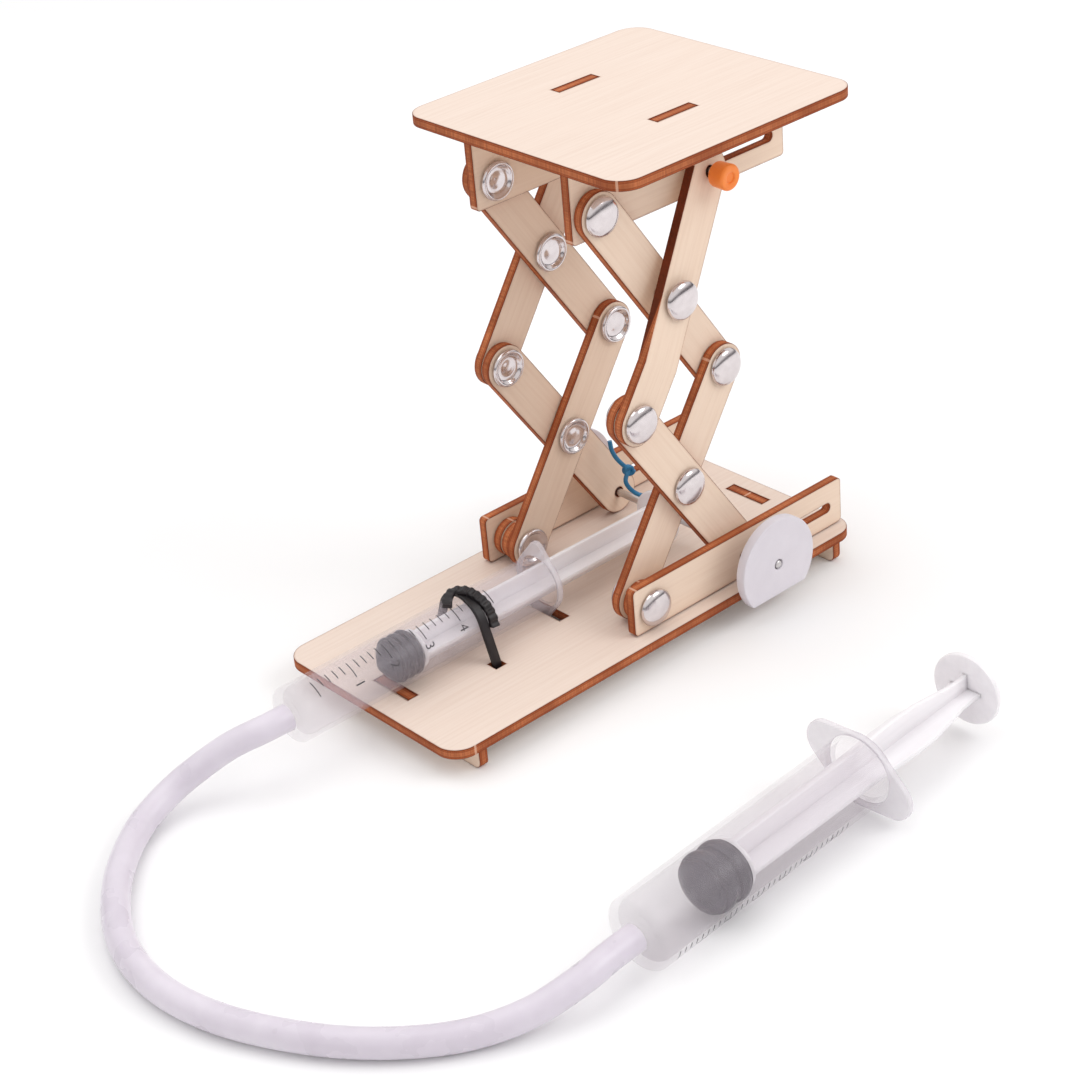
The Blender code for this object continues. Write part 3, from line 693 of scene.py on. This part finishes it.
def make_arms():
    starts = {
        "lower_fixed": ("base", REST_ANGLE, (HOLE_R, HOLE_R, HOLE_R)),
        "lower_sliding": ("lower_axle", pi - REST_ANGLE, (AXLE_HOLE_R, HOLE_R, HOLE_R)),
        "upper_fixed": ("rear_elbow", pi - REST_ANGLE, (HOLE_R, HOLE_R, HOLE_R)),
        "upper_sliding": ("front_elbow", REST_ANGLE, (HOLE_R, HOLE_R, AXLE_HOLE_R)),
    }
    ends = arc(0, 0, ARM_HALF_WIDTH, pi / 2, 3 * pi / 2, 28)
    ends += arc(ARM, 0, ARM_HALF_WIDTH, -pi / 2, pi / 2, 28)
    for part, (start, angle, radii) in starts.items():
        for side, side_name in SIDE_NAME.items():
            holes = [circle(x, 0, radius) for x, radius in zip((0, ARM / 2, ARM), radii)]
            place = flat_place(*PIVOTS[start], side, *layer_faces(side, part))
            tick = (ARM, ARM_HALF_WIDTH) if angle < pi / 2 else (ARM, -ARM_HALF_WIDTH)
            mesh = sheet_mesh(ends, holes)
            if (side, part) == (NEAR, "upper_sliding"):
                flex(mesh)
            add_wood(f"{side_name}_{part}_arm", mesh, place, (pi / 2, -angle, 0), tick)


def make_spacers():
    """Plywood rings between each lower fixed arm and its rail."""
    for side, count in ((NEAR, 1), (FAR, 2)):
        inner = layer_faces(side, "lower_fixed")[1]
        gap = (RAIL_INNER - inner - count * PLY) / (count + 1)
        for i in range(count):
            start = inner + gap + i * (PLY + gap)
            mesh = sheet_mesh(circle(0, 0, SPACER_R, 64), [circle(0, 0, HOLE_R)])
            place = flat_place(*PIVOTS["base"], side, start, start + PLY)
            add_wood(f"{SIDE_NAME[side]}_base_spacer_{i + 1}", mesh, place, STANDING, (0, SPACER_R))


def make_platform():
    pivot_z = PIVOTS["platform"][1]
    under = pivot_z + PLATFORM_ABOVE_PIVOT
    tab_middle = sum(HANGER_X) / 2
    tab = (tab_middle - TAB_HALF, tab_middle + TAB_HALF)
    half_slot = PLY / 2 + GAP
    slots = []
    for side, side_name in SIDE_NAME.items():
        inner, outer = layer_faces(side, "hanger")
        middle = side * (inner + outer) / 2
        slots.append(box(tab[0] - GAP, middle - half_slot, tab[1] + GAP, middle + half_slot))
        bottom = pivot_z - HANGER_BELOW_PIVOT
        top = under - GAP
        low = bottom + HANGER_CORNER
        outline = (
            arc(HANGER_X[0] + HANGER_CORNER, low, HANGER_CORNER, pi, 3 * pi / 2, 8)
            + arc(HANGER_X[1] - HANGER_CORNER, low, HANGER_CORNER, 3 * pi / 2, 2 * pi, 8)
            + [(HANGER_X[1], top), (tab[1], top), (tab[1], under + PLY), (tab[0], under + PLY)]
            + [(tab[0], top), (HANGER_X[0], top)]
        )
        holes = [circle(PIVOT_X, pivot_z, HOLE_R), slot(*HANGER_SLOT_X, pivot_z, SLOT_HALF_HEIGHT)]
        place = flat_place(0, 0, side, inner, outer)
        mesh = sheet_mesh(outline, holes)
        add_wood(side_name + "_hanger", mesh, place, STANDING, (HANGER_X[0], low))
    plate = rounded_box(PLATFORM_X[0], -PLATFORM_HALF_WIDTH, PLATFORM_X[1], PLATFORM_HALF_WIDTH, CORNER)
    tick = (PLATFORM_X[0] + 1.0, -PLATFORM_HALF_WIDTH + 2.6)
    place = at(0, 0, under + PLY / 2)
    add_wood("platform_plate", sheet_mesh(plate, slots), place, FLAT, tick, PLATE_PAINTED_LIGHT_TINT, PLATE_CHAR)


# ---------------------------------------------------------------- metal and moulded parts


def rivet_mesh(length):
    """A double-cap rivet standing on Z: a hollow cap below 0 and a domed cap above length."""
    cup = [
        (0, -0.55), (0.9, -0.52), (1.5, -0.42), (2.0, -0.3), (2.9, -0.28), (3.3, -0.42), (3.6, -0.7),
        (3.9, -1.0), (4.2, -1.17), (4.45, -1.15), (4.68, -0.98), (CAP_R, -0.65), (CAP_R, -0.25),
        (4.65, -0.05), (4.5, 0.0), (POST_R, 0.0),
    ]
    rim = 0.55
    dome = [(4.5, 0.0), (4.68, 0.05), (CAP_R, 0.2), (CAP_R, 0.4), (4.72, rim)]
    for step in range(1, 13):
        a = pi / 2 * step / 12
        dome.append((4.72 * cos(a), rim + (CAP_HEIGHT - rim) * sin(a)))
    dome[-1] = (0.0, CAP_HEIGHT)
    return turned_mesh(cup + [(POST_R, length)] + [(r, length + z) for r, z in dome])


def add_rivet(material, name, side, joint, inner_part, outer_part):
    inner = layer_faces(side, inner_part)[0] - GAP
    outer = RAIL_INNER + PLY + GAP if outer_part == "rail" else layer_faces(side, outer_part)[1] + GAP
    if (name, side) == ("upper_middle", NEAR):
        outer -= flexed(ARM / 2 - CAP_R)
    x, z = PIVOTS[joint]
    node = f"{SIDE_NAME[side]}_{name}_rivet"
    place = at(x, side * inner, z)
    obj = add(node + "_nickel", rivet_mesh(outer - inner), [material], place, OUTWARD[side], 50)
    settle(obj, "nickel", BODY_OF[node], node)


def make_rivets():
    material = nickel()
    for side in (NEAR, FAR):
        elbow = ("upper_fixed", "lower_fixed") if side == NEAR else ("lower_fixed", "upper_fixed")
        add_rivet(material, "base", side, "base", "lower_fixed", "rail")
        add_rivet(material, "lower_middle", side, "lower_middle", "lower_fixed", "lower_sliding")
        add_rivet(material, "rear_elbow", side, "rear_elbow", *elbow)
        add_rivet(material, "front_elbow", side, "front_elbow", "lower_sliding", "upper_sliding")
        add_rivet(material, "upper_middle", side, "upper_middle", "upper_fixed", "upper_sliding")
        add_rivet(material, "platform", side, "platform", "hanger", "upper_fixed")


def rod_mesh(radius, half_length):
    ease = 0.2
    end = [(0, half_length), (radius - ease, half_length), (radius, half_length - ease)]
    return turned_mesh([(r, -z) for r, z in end] + [(r, z) for r, z in reversed(end)], 32)


def make_axles():
    metal = steel()
    x, z = PIVOTS["lower_axle"]
    rod = add("lower_axle_rod", rod_mesh(AXLE_R, DISC_Y[1]), [metal], at(x, 0, z), STANDING)
    settle(rod, "steel", BODY_OF["lower_axle"], "lower_axle")
    white = moulded("white_wheel", (0.72, 0.68, 0.73), (0.68, 0.64, 0.69), 0.38, 0.9, 0.02)
    cut = pi / 2 + atan2((DISC_R**2 - DISC_FLAT_BELOW**2) ** 0.5, DISC_FLAT_BELOW)
    outline = arc(0, 0, DISC_R, cut - pi, 2 * pi - cut, 120)
    for side, side_name in SIDE_NAME.items():
        mesh = sheet_mesh(outline, [circle(0, 0, AXLE_HOLE_R)], DISC_Y[1] - DISC_Y[0], 0.35, 0.3)
        wheel = add(side_name + "_wheel", mesh, [white, white], flat_place(x, z, side, *DISC_Y), STANDING)
        settle(wheel, "white_plastic", BODY_OF[side_name + "_disc"], side_name + "_disc")

    x, z = PIVOTS["upper_axle"]
    starts = {side: layer_faces(side, "upper_sliding")[1] + END_CAP_CLEARANCE for side in (NEAR, FAR)}
    starts[NEAR] -= flexed(ARM - CAP_R)
    low = -(starts[NEAR] + END_CAP_LENGTH - 1.0)
    high = starts[FAR] + END_CAP_LENGTH - 1.0
    place = at(x, (high + low) / 2, z)
    rod = add("upper_axle_rod", rod_mesh(AXLE_R, (high - low) / 2), [metal], place, STANDING)
    settle(rod, "steel", BODY_OF["upper_axle"], "upper_axle")
    orange = moulded("orange_cap", (0.95, 0.27, 0.035), (0.88, 0.20, 0.02), 0.35, 1.5, 0.03)
    depth = END_CAP_LENGTH - 0.7
    end = END_CAP_LENGTH
    profile = [(0, depth), (AXLE_HOLE_R, depth), (AXLE_HOLE_R, 0), (2.7, 0), (2.95, 0.1), (3.05, 0.35)]
    profile += arc(END_CAP_R - 0.7, end - 0.7, 0.7, 0, pi / 2, 10)
    profile += [(1.5, end), (1.35, end - 0.08), (1.2, end - 0.4), (0, end - 0.5)]
    for side, side_name in SIDE_NAME.items():
        node = side_name + "_axle_cap"
        place = at(x, side * starts[side], z)
        cap = add(node + "_orange", turned_mesh(profile), [orange], place, OUTWARD[side])
        settle(cap, "orange_plastic", BODY_OF[node], node)


def band_mesh(path, outs, tops, closed):
    """A nylon band along a path. Each point has its outward direction and its outer face's height."""
    shape = bmesh.new()
    rings = []
    count = len(path)
    half = TIE_WIDTH / 2
    for i, (point, out, top) in enumerate(zip(path, outs, tops)):
        before = path[i - 1] if closed or i else point
        after = path[(i + 1) % count] if closed or i + 1 < count else point
        across = (after - before).cross(out).normalized()
        section = [(-half, -TIE_HALF), (half, -TIE_HALF), (half, top - 0.15), (half - 0.2, top)]
        section += [(0.2 - half, top), (-half, top - 0.15)]
        rings.append([shape.verts.new(point + across * w + out * h) for w, h in section])
    pairs = list(zip(rings, rings[1:]))
    if closed:
        pairs.append((rings[-1], rings[0]))
    else:
        shape.faces.new(rings[0])
        shape.faces.new(rings[-1])
    for one, two in pairs:
        for j in range(len(one)):
            k = (j + 1) % len(one)
            shape.faces.new((one[j], one[k], two[k], two[j]))
    bmesh.ops.recalc_face_normals(shape, faces=shape.faces)
    mesh = bpy.data.meshes.new("band")
    shape.to_mesh(mesh)
    shape.free()
    return mesh


def make_zip_tie():
    """A loop through both holes and over the barrel, and its toothed tail lying on the barrel beside it."""
    black = moulded("black_nylon", (0.010, 0.006, 0.008), (0.005, 0.003, 0.004), 0.45, 2.0, 0.03)
    radius = BASE_BARREL["radius"] + 0.75
    drop = 0.3 - BASE_AXIS_Z
    reach = hypot(TIE_HOLE_Y, drop)
    lean = atan2(drop, TIE_HOLE_Y) + pi / 2 - atan2(radius, (reach**2 - radius**2) ** 0.5)
    under = -PLY - 0.8
    corners = [(-TIE_HOLE_Y, 0.3), (-TIE_HOLE_Y, under), (TIE_HOLE_Y, under), (TIE_HOLE_Y, 0.3)]
    path = [Vector((0, y, z)) for y, z in corners + arc(0, BASE_AXIS_Z, radius, lean, pi - lean, 80)]
    outs = []
    for before, after in zip(path[-1:] + path[:-1], path[1:] + path[:1]):
        along = (after - before).normalized()
        outs.append(Vector((0, along.z, -along.y)))
    mesh = band_mesh(path, outs, [TIE_HALF] * len(path), True)
    tie = add("zip_tie_loop", mesh, [black], at(TIE_X, 0, 0), angle=30)
    settle(tie, "black_plastic", "base", "zip_tie")

    # Along the barrel, round it in degrees from the far side, and out from its axis
    route = [
        (-6.0, 103, 8.0), (-4.0, 88, 8.4), (-1.4, 82, 8.9), (0.6, 95, 8.9),
        (1.6, 112, 8.7), (2.4, 134, 8.4), (2.6, 155, 8.3), (2.4, 173, 8.6),
    ]
    bent = [(x, radians(turn), out) for x, turn, out in route]
    path = smooth_path([Vector((x, r * cos(a), BASE_AXIS_Z + r * sin(a))) for x, a, r in bent], 0.42)
    outs = [Vector((0, point.y, point.z - BASE_AXIS_Z)).normalized() for point in path]
    tops = [TIE_HALF + (0.2 if i % 4 < 2 else -0.1) for i in range(len(path))]
    tail = add("zip_tie_tail", band_mesh(path, outs, tops, False), [black], at(TIE_X, 0, 0), angle=30)
    settle(tail, "black_plastic", "base")


# ---------------------------------------------------------------- syringes


def lobed(half_length, end_r, middle_r, tilt):
    """The finger flange's outline: a round middle drawn out to two rounded ends."""
    points = circle(0, 0, middle_r, 90)
    for way in (-1, 1):
        points += circle(way * (half_length - end_r), 0, end_r, 60)
    hull = [points[i] for i in convex_hull_2d([Vector(p) for p in points])]
    return [(x * cos(tilt) - y * sin(tilt), x * sin(tilt) + y * cos(tilt)) for x, y in hull]


def barrel_mesh(barrel, flange):
    """A barrel with a recessed front, open at its back, with a thin rim there. Its finger flange takes
    the second material."""
    radius, bore, length, shoulder = (barrel[k] for k in ("radius", "bore", "length", "shoulder"))
    front = [(0, 0.5), (radius - 2.5, 0.5), (radius - 2.2, 0.35), (radius - 1.9, 0.05), (radius - 1.7, 0)]
    outer = arc(radius - 1.2, 1.2, 1.2, -pi / 2, 0, 8)
    back = [(radius, length - 0.2), (radius - 0.2, length), (bore + 0.2, length), (bore, length - 0.2)]
    inner = [(bore, shoulder + 1.0), (bore - 0.3, shoulder + 0.3)]
    inner += [(bore - 1.0, shoulder), (0, shoulder - 0.3)]
    tube = turned_mesh(front + outer + back + inner, 96)
    wings = sheet_mesh(flange, [circle(0, 0, radius + 0.03, 96)], WING_THICKNESS, 0.35, 0.3)
    for face in wings.polygons:
        face.material_index = 1
    return joined(tube, lifted(wings, length - WING_THICKNESS / 2 - GAP))


def stopper_mesh(start, end, radius, ribs):
    """A rubber stopper with a cone in front and rounded sealing ribs."""
    waist = radius - 0.8
    profile = [(0, start - 2.6), (waist * 0.3, start - 2.45)]
    profile += [(waist * 0.96, start - 0.1), (waist, start + 0.1)]
    pitch = (end - start - 0.3) / ribs
    for rib in range(ribs):
        middle = start + 0.3 + pitch * (rib + 0.5)
        half = pitch * 0.34
        for step in range(7):
            a = pi * step / 6
            profile.append((waist + (radius - waist) * sin(a) ** 0.6, middle - half * cos(a)))
    profile += [(waist, end), (0, end)]
    return turned_mesh(profile, 72)


def rod_section(reach, half):
    """A plus sign, as the four ribs of a plunger rod."""
    quarter = [(reach, -half), (reach, half), (half, half)]
    turns = ((1, 0), (0, 1), (-1, 0), (0, -1))
    return [(x * c - y * s, x * s + y * c) for c, s in turns for x, y in quarter]


def plunger_mesh(start, thumb, reaches, thumb_r):
    """A cross-ribbed rod whose ribs reach out as given along it, with its foot and its thumb disc."""
    shape = bmesh.new()
    rings = []
    for share, reach in reaches:
        height = start + (thumb - start) * share
        rings.append([shape.verts.new((x, y, height)) for x, y in rod_section(reach, 0.55)])
    for low, high in zip(rings, rings[1:]):
        for i in range(12):
            j = (i + 1) % 12
            shape.faces.new((low[i], low[j], high[j], high[i]))
    shape.faces.new(rings[0])
    shape.faces.new(rings[-1])
    bmesh.ops.recalc_face_normals(shape, faces=shape.faces)
    rims = [e for e in shape.edges if e.is_manifold and e.calc_face_angle(0) > 1.2]
    bmesh.ops.bevel(
        shape, geom=rims, offset=0.12, segments=2, profile=0.5, affect="EDGES", clamp_overlap=True
    )
    rod = bpy.data.meshes.new("rod")
    shape.to_mesh(rod)
    shape.free()
    low, high = thumb - 0.5, thumb + 1.0
    disc = [(0, low), (thumb_r - 0.5, low), (thumb_r - 0.1, low + 0.15), (thumb_r, low + 0.5)]
    disc += [(thumb_r, high - 0.4), (thumb_r - 0.15, high - 0.1), (thumb_r - 0.5, high)]
    disc += [(thumb_r - 1.6, high - 0.25), (0, high - 0.3)]
    reach = reaches[0][1]
    foot = [(0, start), (reach + 0.2, start), (reach + 0.3, start + 0.2)]
    foot += [(reach + 0.3, start + 1.0), (0, start + 1.1)]
    return joined(rod, turned_mesh(disc, 72), turned_mesh(foot, 72))


def marks_mesh(radius, ticks, numbers):
    """Generic graduations on a barrel: ticks as (height, start angle, end angle), numbers as
    (text, height, angle, size)."""
    shape = bmesh.new()
    lifted_r = radius + 0.02
    for height, start, end in ticks:
        ring = []
        for i in range(13):
            a = start + (end - start) * i / 12
            x, y = lifted_r * cos(a), lifted_r * sin(a)
            ring.append([shape.verts.new((x, y, height + h)) for h in (-0.14, 0.14)])
        for one, two in zip(ring, ring[1:]):
            shape.faces.new((one[0], two[0], two[1], one[1]))
    for text, height, angle, size in numbers:
        curve = bpy.data.curves.new("number", "FONT")
        curve.body = text
        curve.size = size
        curve.align_x = "CENTER"
        curve.align_y = "CENTER"
        curve.resolution_u = 3
        holder = bpy.data.objects.new("number", curve)
        letters = bpy.data.meshes.new_from_object(holder)
        places = []
        for vert in letters.vertices:
            a = angle + vert.co.x / radius
            point = (lifted_r * cos(a), lifted_r * sin(a), height + vert.co.y)
            places.append(shape.verts.new(point))
        for polygon in letters.polygons:
            shape.faces.new([places[i] for i in polygon.vertices])
        bpy.data.objects.remove(holder)
        bpy.data.curves.remove(curve)
        bpy.data.meshes.remove(letters)
    mesh = bpy.data.meshes.new("marks")
    shape.to_mesh(mesh)
    shape.free()
    return mesh


def make_syringes():
    clear = polypropylene("clear_barrel", 0.14, (0.72, 0.65, 0.71))
    frosted = polypropylene("frosted_flange", 0.42, (0.84, 0.80, 0.845))
    milky = polypropylene("milky_plunger", 1.0, (0.86, 0.83, 0.86))
    rubber = moulded("stopper_rubber", (0.028, 0.027, 0.036), (0.012, 0.011, 0.016), 0.32, 2.5, 0.006)
    rubber.node_tree.nodes["Principled BSDF"].inputs["Specular IOR Level"].default_value = 0.3
    ink = moulded("graduation_ink", (0.10, 0.09, 0.10), (0.06, 0.055, 0.06), 0.6)

    place = at(BASE_FRONT_X, 0, BASE_AXIS_Z)
    radius = BASE_BARREL["radius"]
    barrel = barrel_mesh(BASE_BARREL, lobed(11.2, 2.2, 7.9, 0))
    barrel = add("base_syringe_barrel", barrel, [clear, frosted], place, ALONG_X)
    settle(barrel, "clear_plastic", "base", "base_barrel")
    ticks = [(6.0 + 2.1 * i, 3.35, 3.35 + (0.62 if i % 5 == 0 else 0.36)) for i in range(26)]
    numbers = [(str(i + 1), 6.0 + 10.5 * (i + 1), 4.22, 3.6) for i in range(4)]
    marks = add("base_syringe_marks", marks_mesh(radius, ticks, numbers), [ink], place, ALONG_X)
    settle(marks, "black_plastic", "base")
    stopper = stopper_mesh(*BASE_STOPPER, BASE_BARREL["bore"] - 0.3, 3)
    stopper = add("base_syringe_stopper", stopper, [rubber], place, ALONG_X)
    settle(stopper, "black_rubber", "base_plunger", "base_stopper")
    start = BASE_STOPPER[1] + 0.4
    reaches = [(0, 4.6), (0.9, 4.6), (1.0, 4.6)]
    plunger = plunger_mesh(start, BASE_THUMB, reaches, BASE_THUMB_R)
    plunger = add("base_syringe_plunger", plunger, [milky], place, ALONG_X)
    settle(plunger, "clear_plastic", "base_plunger", "base_plunger")

    lift = HAND_BARREL["radius"] * cos(HAND_PITCH) + FLOOR_Z + 0.05
    place = at(*HAND_FRONT, lift)
    turn = (0, pi / 2 - HAND_PITCH, HAND_YAW)
    radius = HAND_BARREL["radius"]
    barrel = barrel_mesh(HAND_BARREL, lobed(15.0, 5.4, 9.4, pi / 2 + HAND_WING_TILT))
    barrel = add("hand_syringe_barrel", barrel, [clear, frosted], place, turn)
    settle(barrel, "clear_plastic", "base", "hand_barrel")
    ticks = [(4.0 + 1.7 * i, 4.95, 4.95 + (0.40 if i % 5 == 0 else 0.22)) for i in range(32)]
    numbers = [(str(2 * i + 2), 4.0 + 8.5 * (i + 1), 5.55, 3.2) for i in range(6)]
    marks = add("hand_syringe_marks", marks_mesh(radius, ticks, numbers), [ink], place, turn)
    settle(marks, "black_plastic", "base")
    stopper = stopper_mesh(*HAND_STOPPER, HAND_BARREL["bore"] - 0.3, 2)
    stopper = add("hand_syringe_stopper", stopper, [rubber], place, turn)
    settle(stopper, "black_rubber", "hand_plunger", "hand_stopper")
    start = HAND_STOPPER[1] + 0.4
    reaches = [(0, 5.6), (0.55, 5.8), (0.66, 6.3), (0.76, 6.2)]
    reaches += [(0.84, 5.2), (0.92, 4.1), (0.97, 3.9), (1.0, 4.4)]
    plunger = plunger_mesh(start, HAND_THUMB, reaches, HAND_THUMB_R)
    plunger = add("hand_syringe_plunger", plunger, [milky], place, turn)
    settle(plunger, "clear_plastic", "hand_plunger", "hand_plunger")
    return place, Matrix.Rotation(HAND_YAW, 3, "Z") @ Vector((cos(HAND_PITCH), 0, sin(HAND_PITCH)))


def make_blue_tie():
    blue = moulded("blue_wire", (0.022, 0.20, 0.40), (0.014, 0.15, 0.31), 0.3, 2.0, 0.02)
    route = [
        (26.6, 15.2, 24.9), (26.7, 14.8, 22.4), (27.6, 14.2, 19.8), (29.2, 13.4, 17.3), (30.4, 12.8, 15.8),
        (29.4, 12.6, 14.9), (28.4, 12.2, 13.4), (28.9, 11.4, 11.4), (30.5, 10.6, 9.4), (32.4, 9.6, 8.3),
        (35.0, 8.8, 7.6), (35.8, 8.3, 5.6), (34.2, 7.7, 3.6), (31.4, 6.6, 3.0), (29.7, 5.0, 4.0),
        (29.3, 4.0, 5.4),
    ]
    wire = add_tube("blue_wire", smooth_path([at(*p) for p in route], 0.6 * MM), 0.6, blue)
    settle(wire, "blue_plastic", "base_plunger", "blue_tie")
    turns = []
    for i in range(37):
        a = 2 * pi * i / 18
        turns.append(at(30.2 + 0.9 * cos(a), 12.8 - 0.5 * cos(a) - (i - 18) * 0.03, 15.7 + 1.0 * sin(a)))
    knot = add_tube("blue_wire_knot", turns, 0.55, blue)
    settle(knot, "blue_plastic", "base_plunger")


# ---------------------------------------------------------------- hose


def hose_points(hand_place, hand_axis):
    low = FLOOR_Z + HOSE_R + 0.2
    route = [
        (BASE_FRONT_X - GAP, 0, BASE_AXIS_Z), (-98.0, 0.6, 7.4), (-104.5, 4.0, 5.2), (-111.5, 7.6, 1.2),
        (-119.5, 9.4, -2.6), (-130.5, 6.3, low), (-142.4, -3.9, low), (-151.0, -15.4, low),
        (-156.4, -27.5, low), (-158.4, -41.0, low), (-156.8, -54.3, low), (-152.2, -67.2, low),
        (-144.3, -81.0, low),
        (-135.0, -91.9, low), (-124.2, -100.2, -5.0), (-112.6, -105.8, -3.6),
    ]
    end = [
        hand_place - hand_axis * 16 * MM + Vector((0, 0, -0.5 * MM)),
        hand_place - hand_axis * 8 * MM,
        hand_place - hand_axis * GAP * MM,
    ]
    return smooth_path([at(*p) for p in route] + end, 2.2 * MM)


def make_hose(hand_place, hand_axis):
    points = hose_points(hand_place, hand_axis)
    paint = Paint("soft_tube", Roughness=0.3, IOR=1.42, Subsurface_Weight=0.6)
    paint.shader.inputs["Subsurface Radius"].default_value = (1.0, 0.96, 1.0)
    paint.shader.inputs["Subsurface Scale"].default_value = 3.0 * MM
    haze = paint.noise(paint.place((0.08, 0.08, 0.08)), detail=3)
    paint.use("Base Color", paint.ramp(haze, (0.3, (0.64, 0.59, 0.66)), (0.7, (0.73, 0.685, 0.75))))
    paint.use("Roughness", paint.spread(haze, 0.2, 0.38))
    paint.bump(paint.noise(paint.place((0.12, 0.12, 0.12)), detail=1), 0.05, 0.3)
    hose = add_tube("hose_tube", points, HOSE_R, paint.material, 12)
    settle(hose, "hose", "base", "hose")


add_camera()
add_studio()
hand_place, hand_axis = make_syringes()
make_hose(hand_place, hand_axis)
make_base()
make_arms()
make_spacers()
make_platform()
make_rivets()
make_axles()
make_zip_tie()
make_blue_tie()
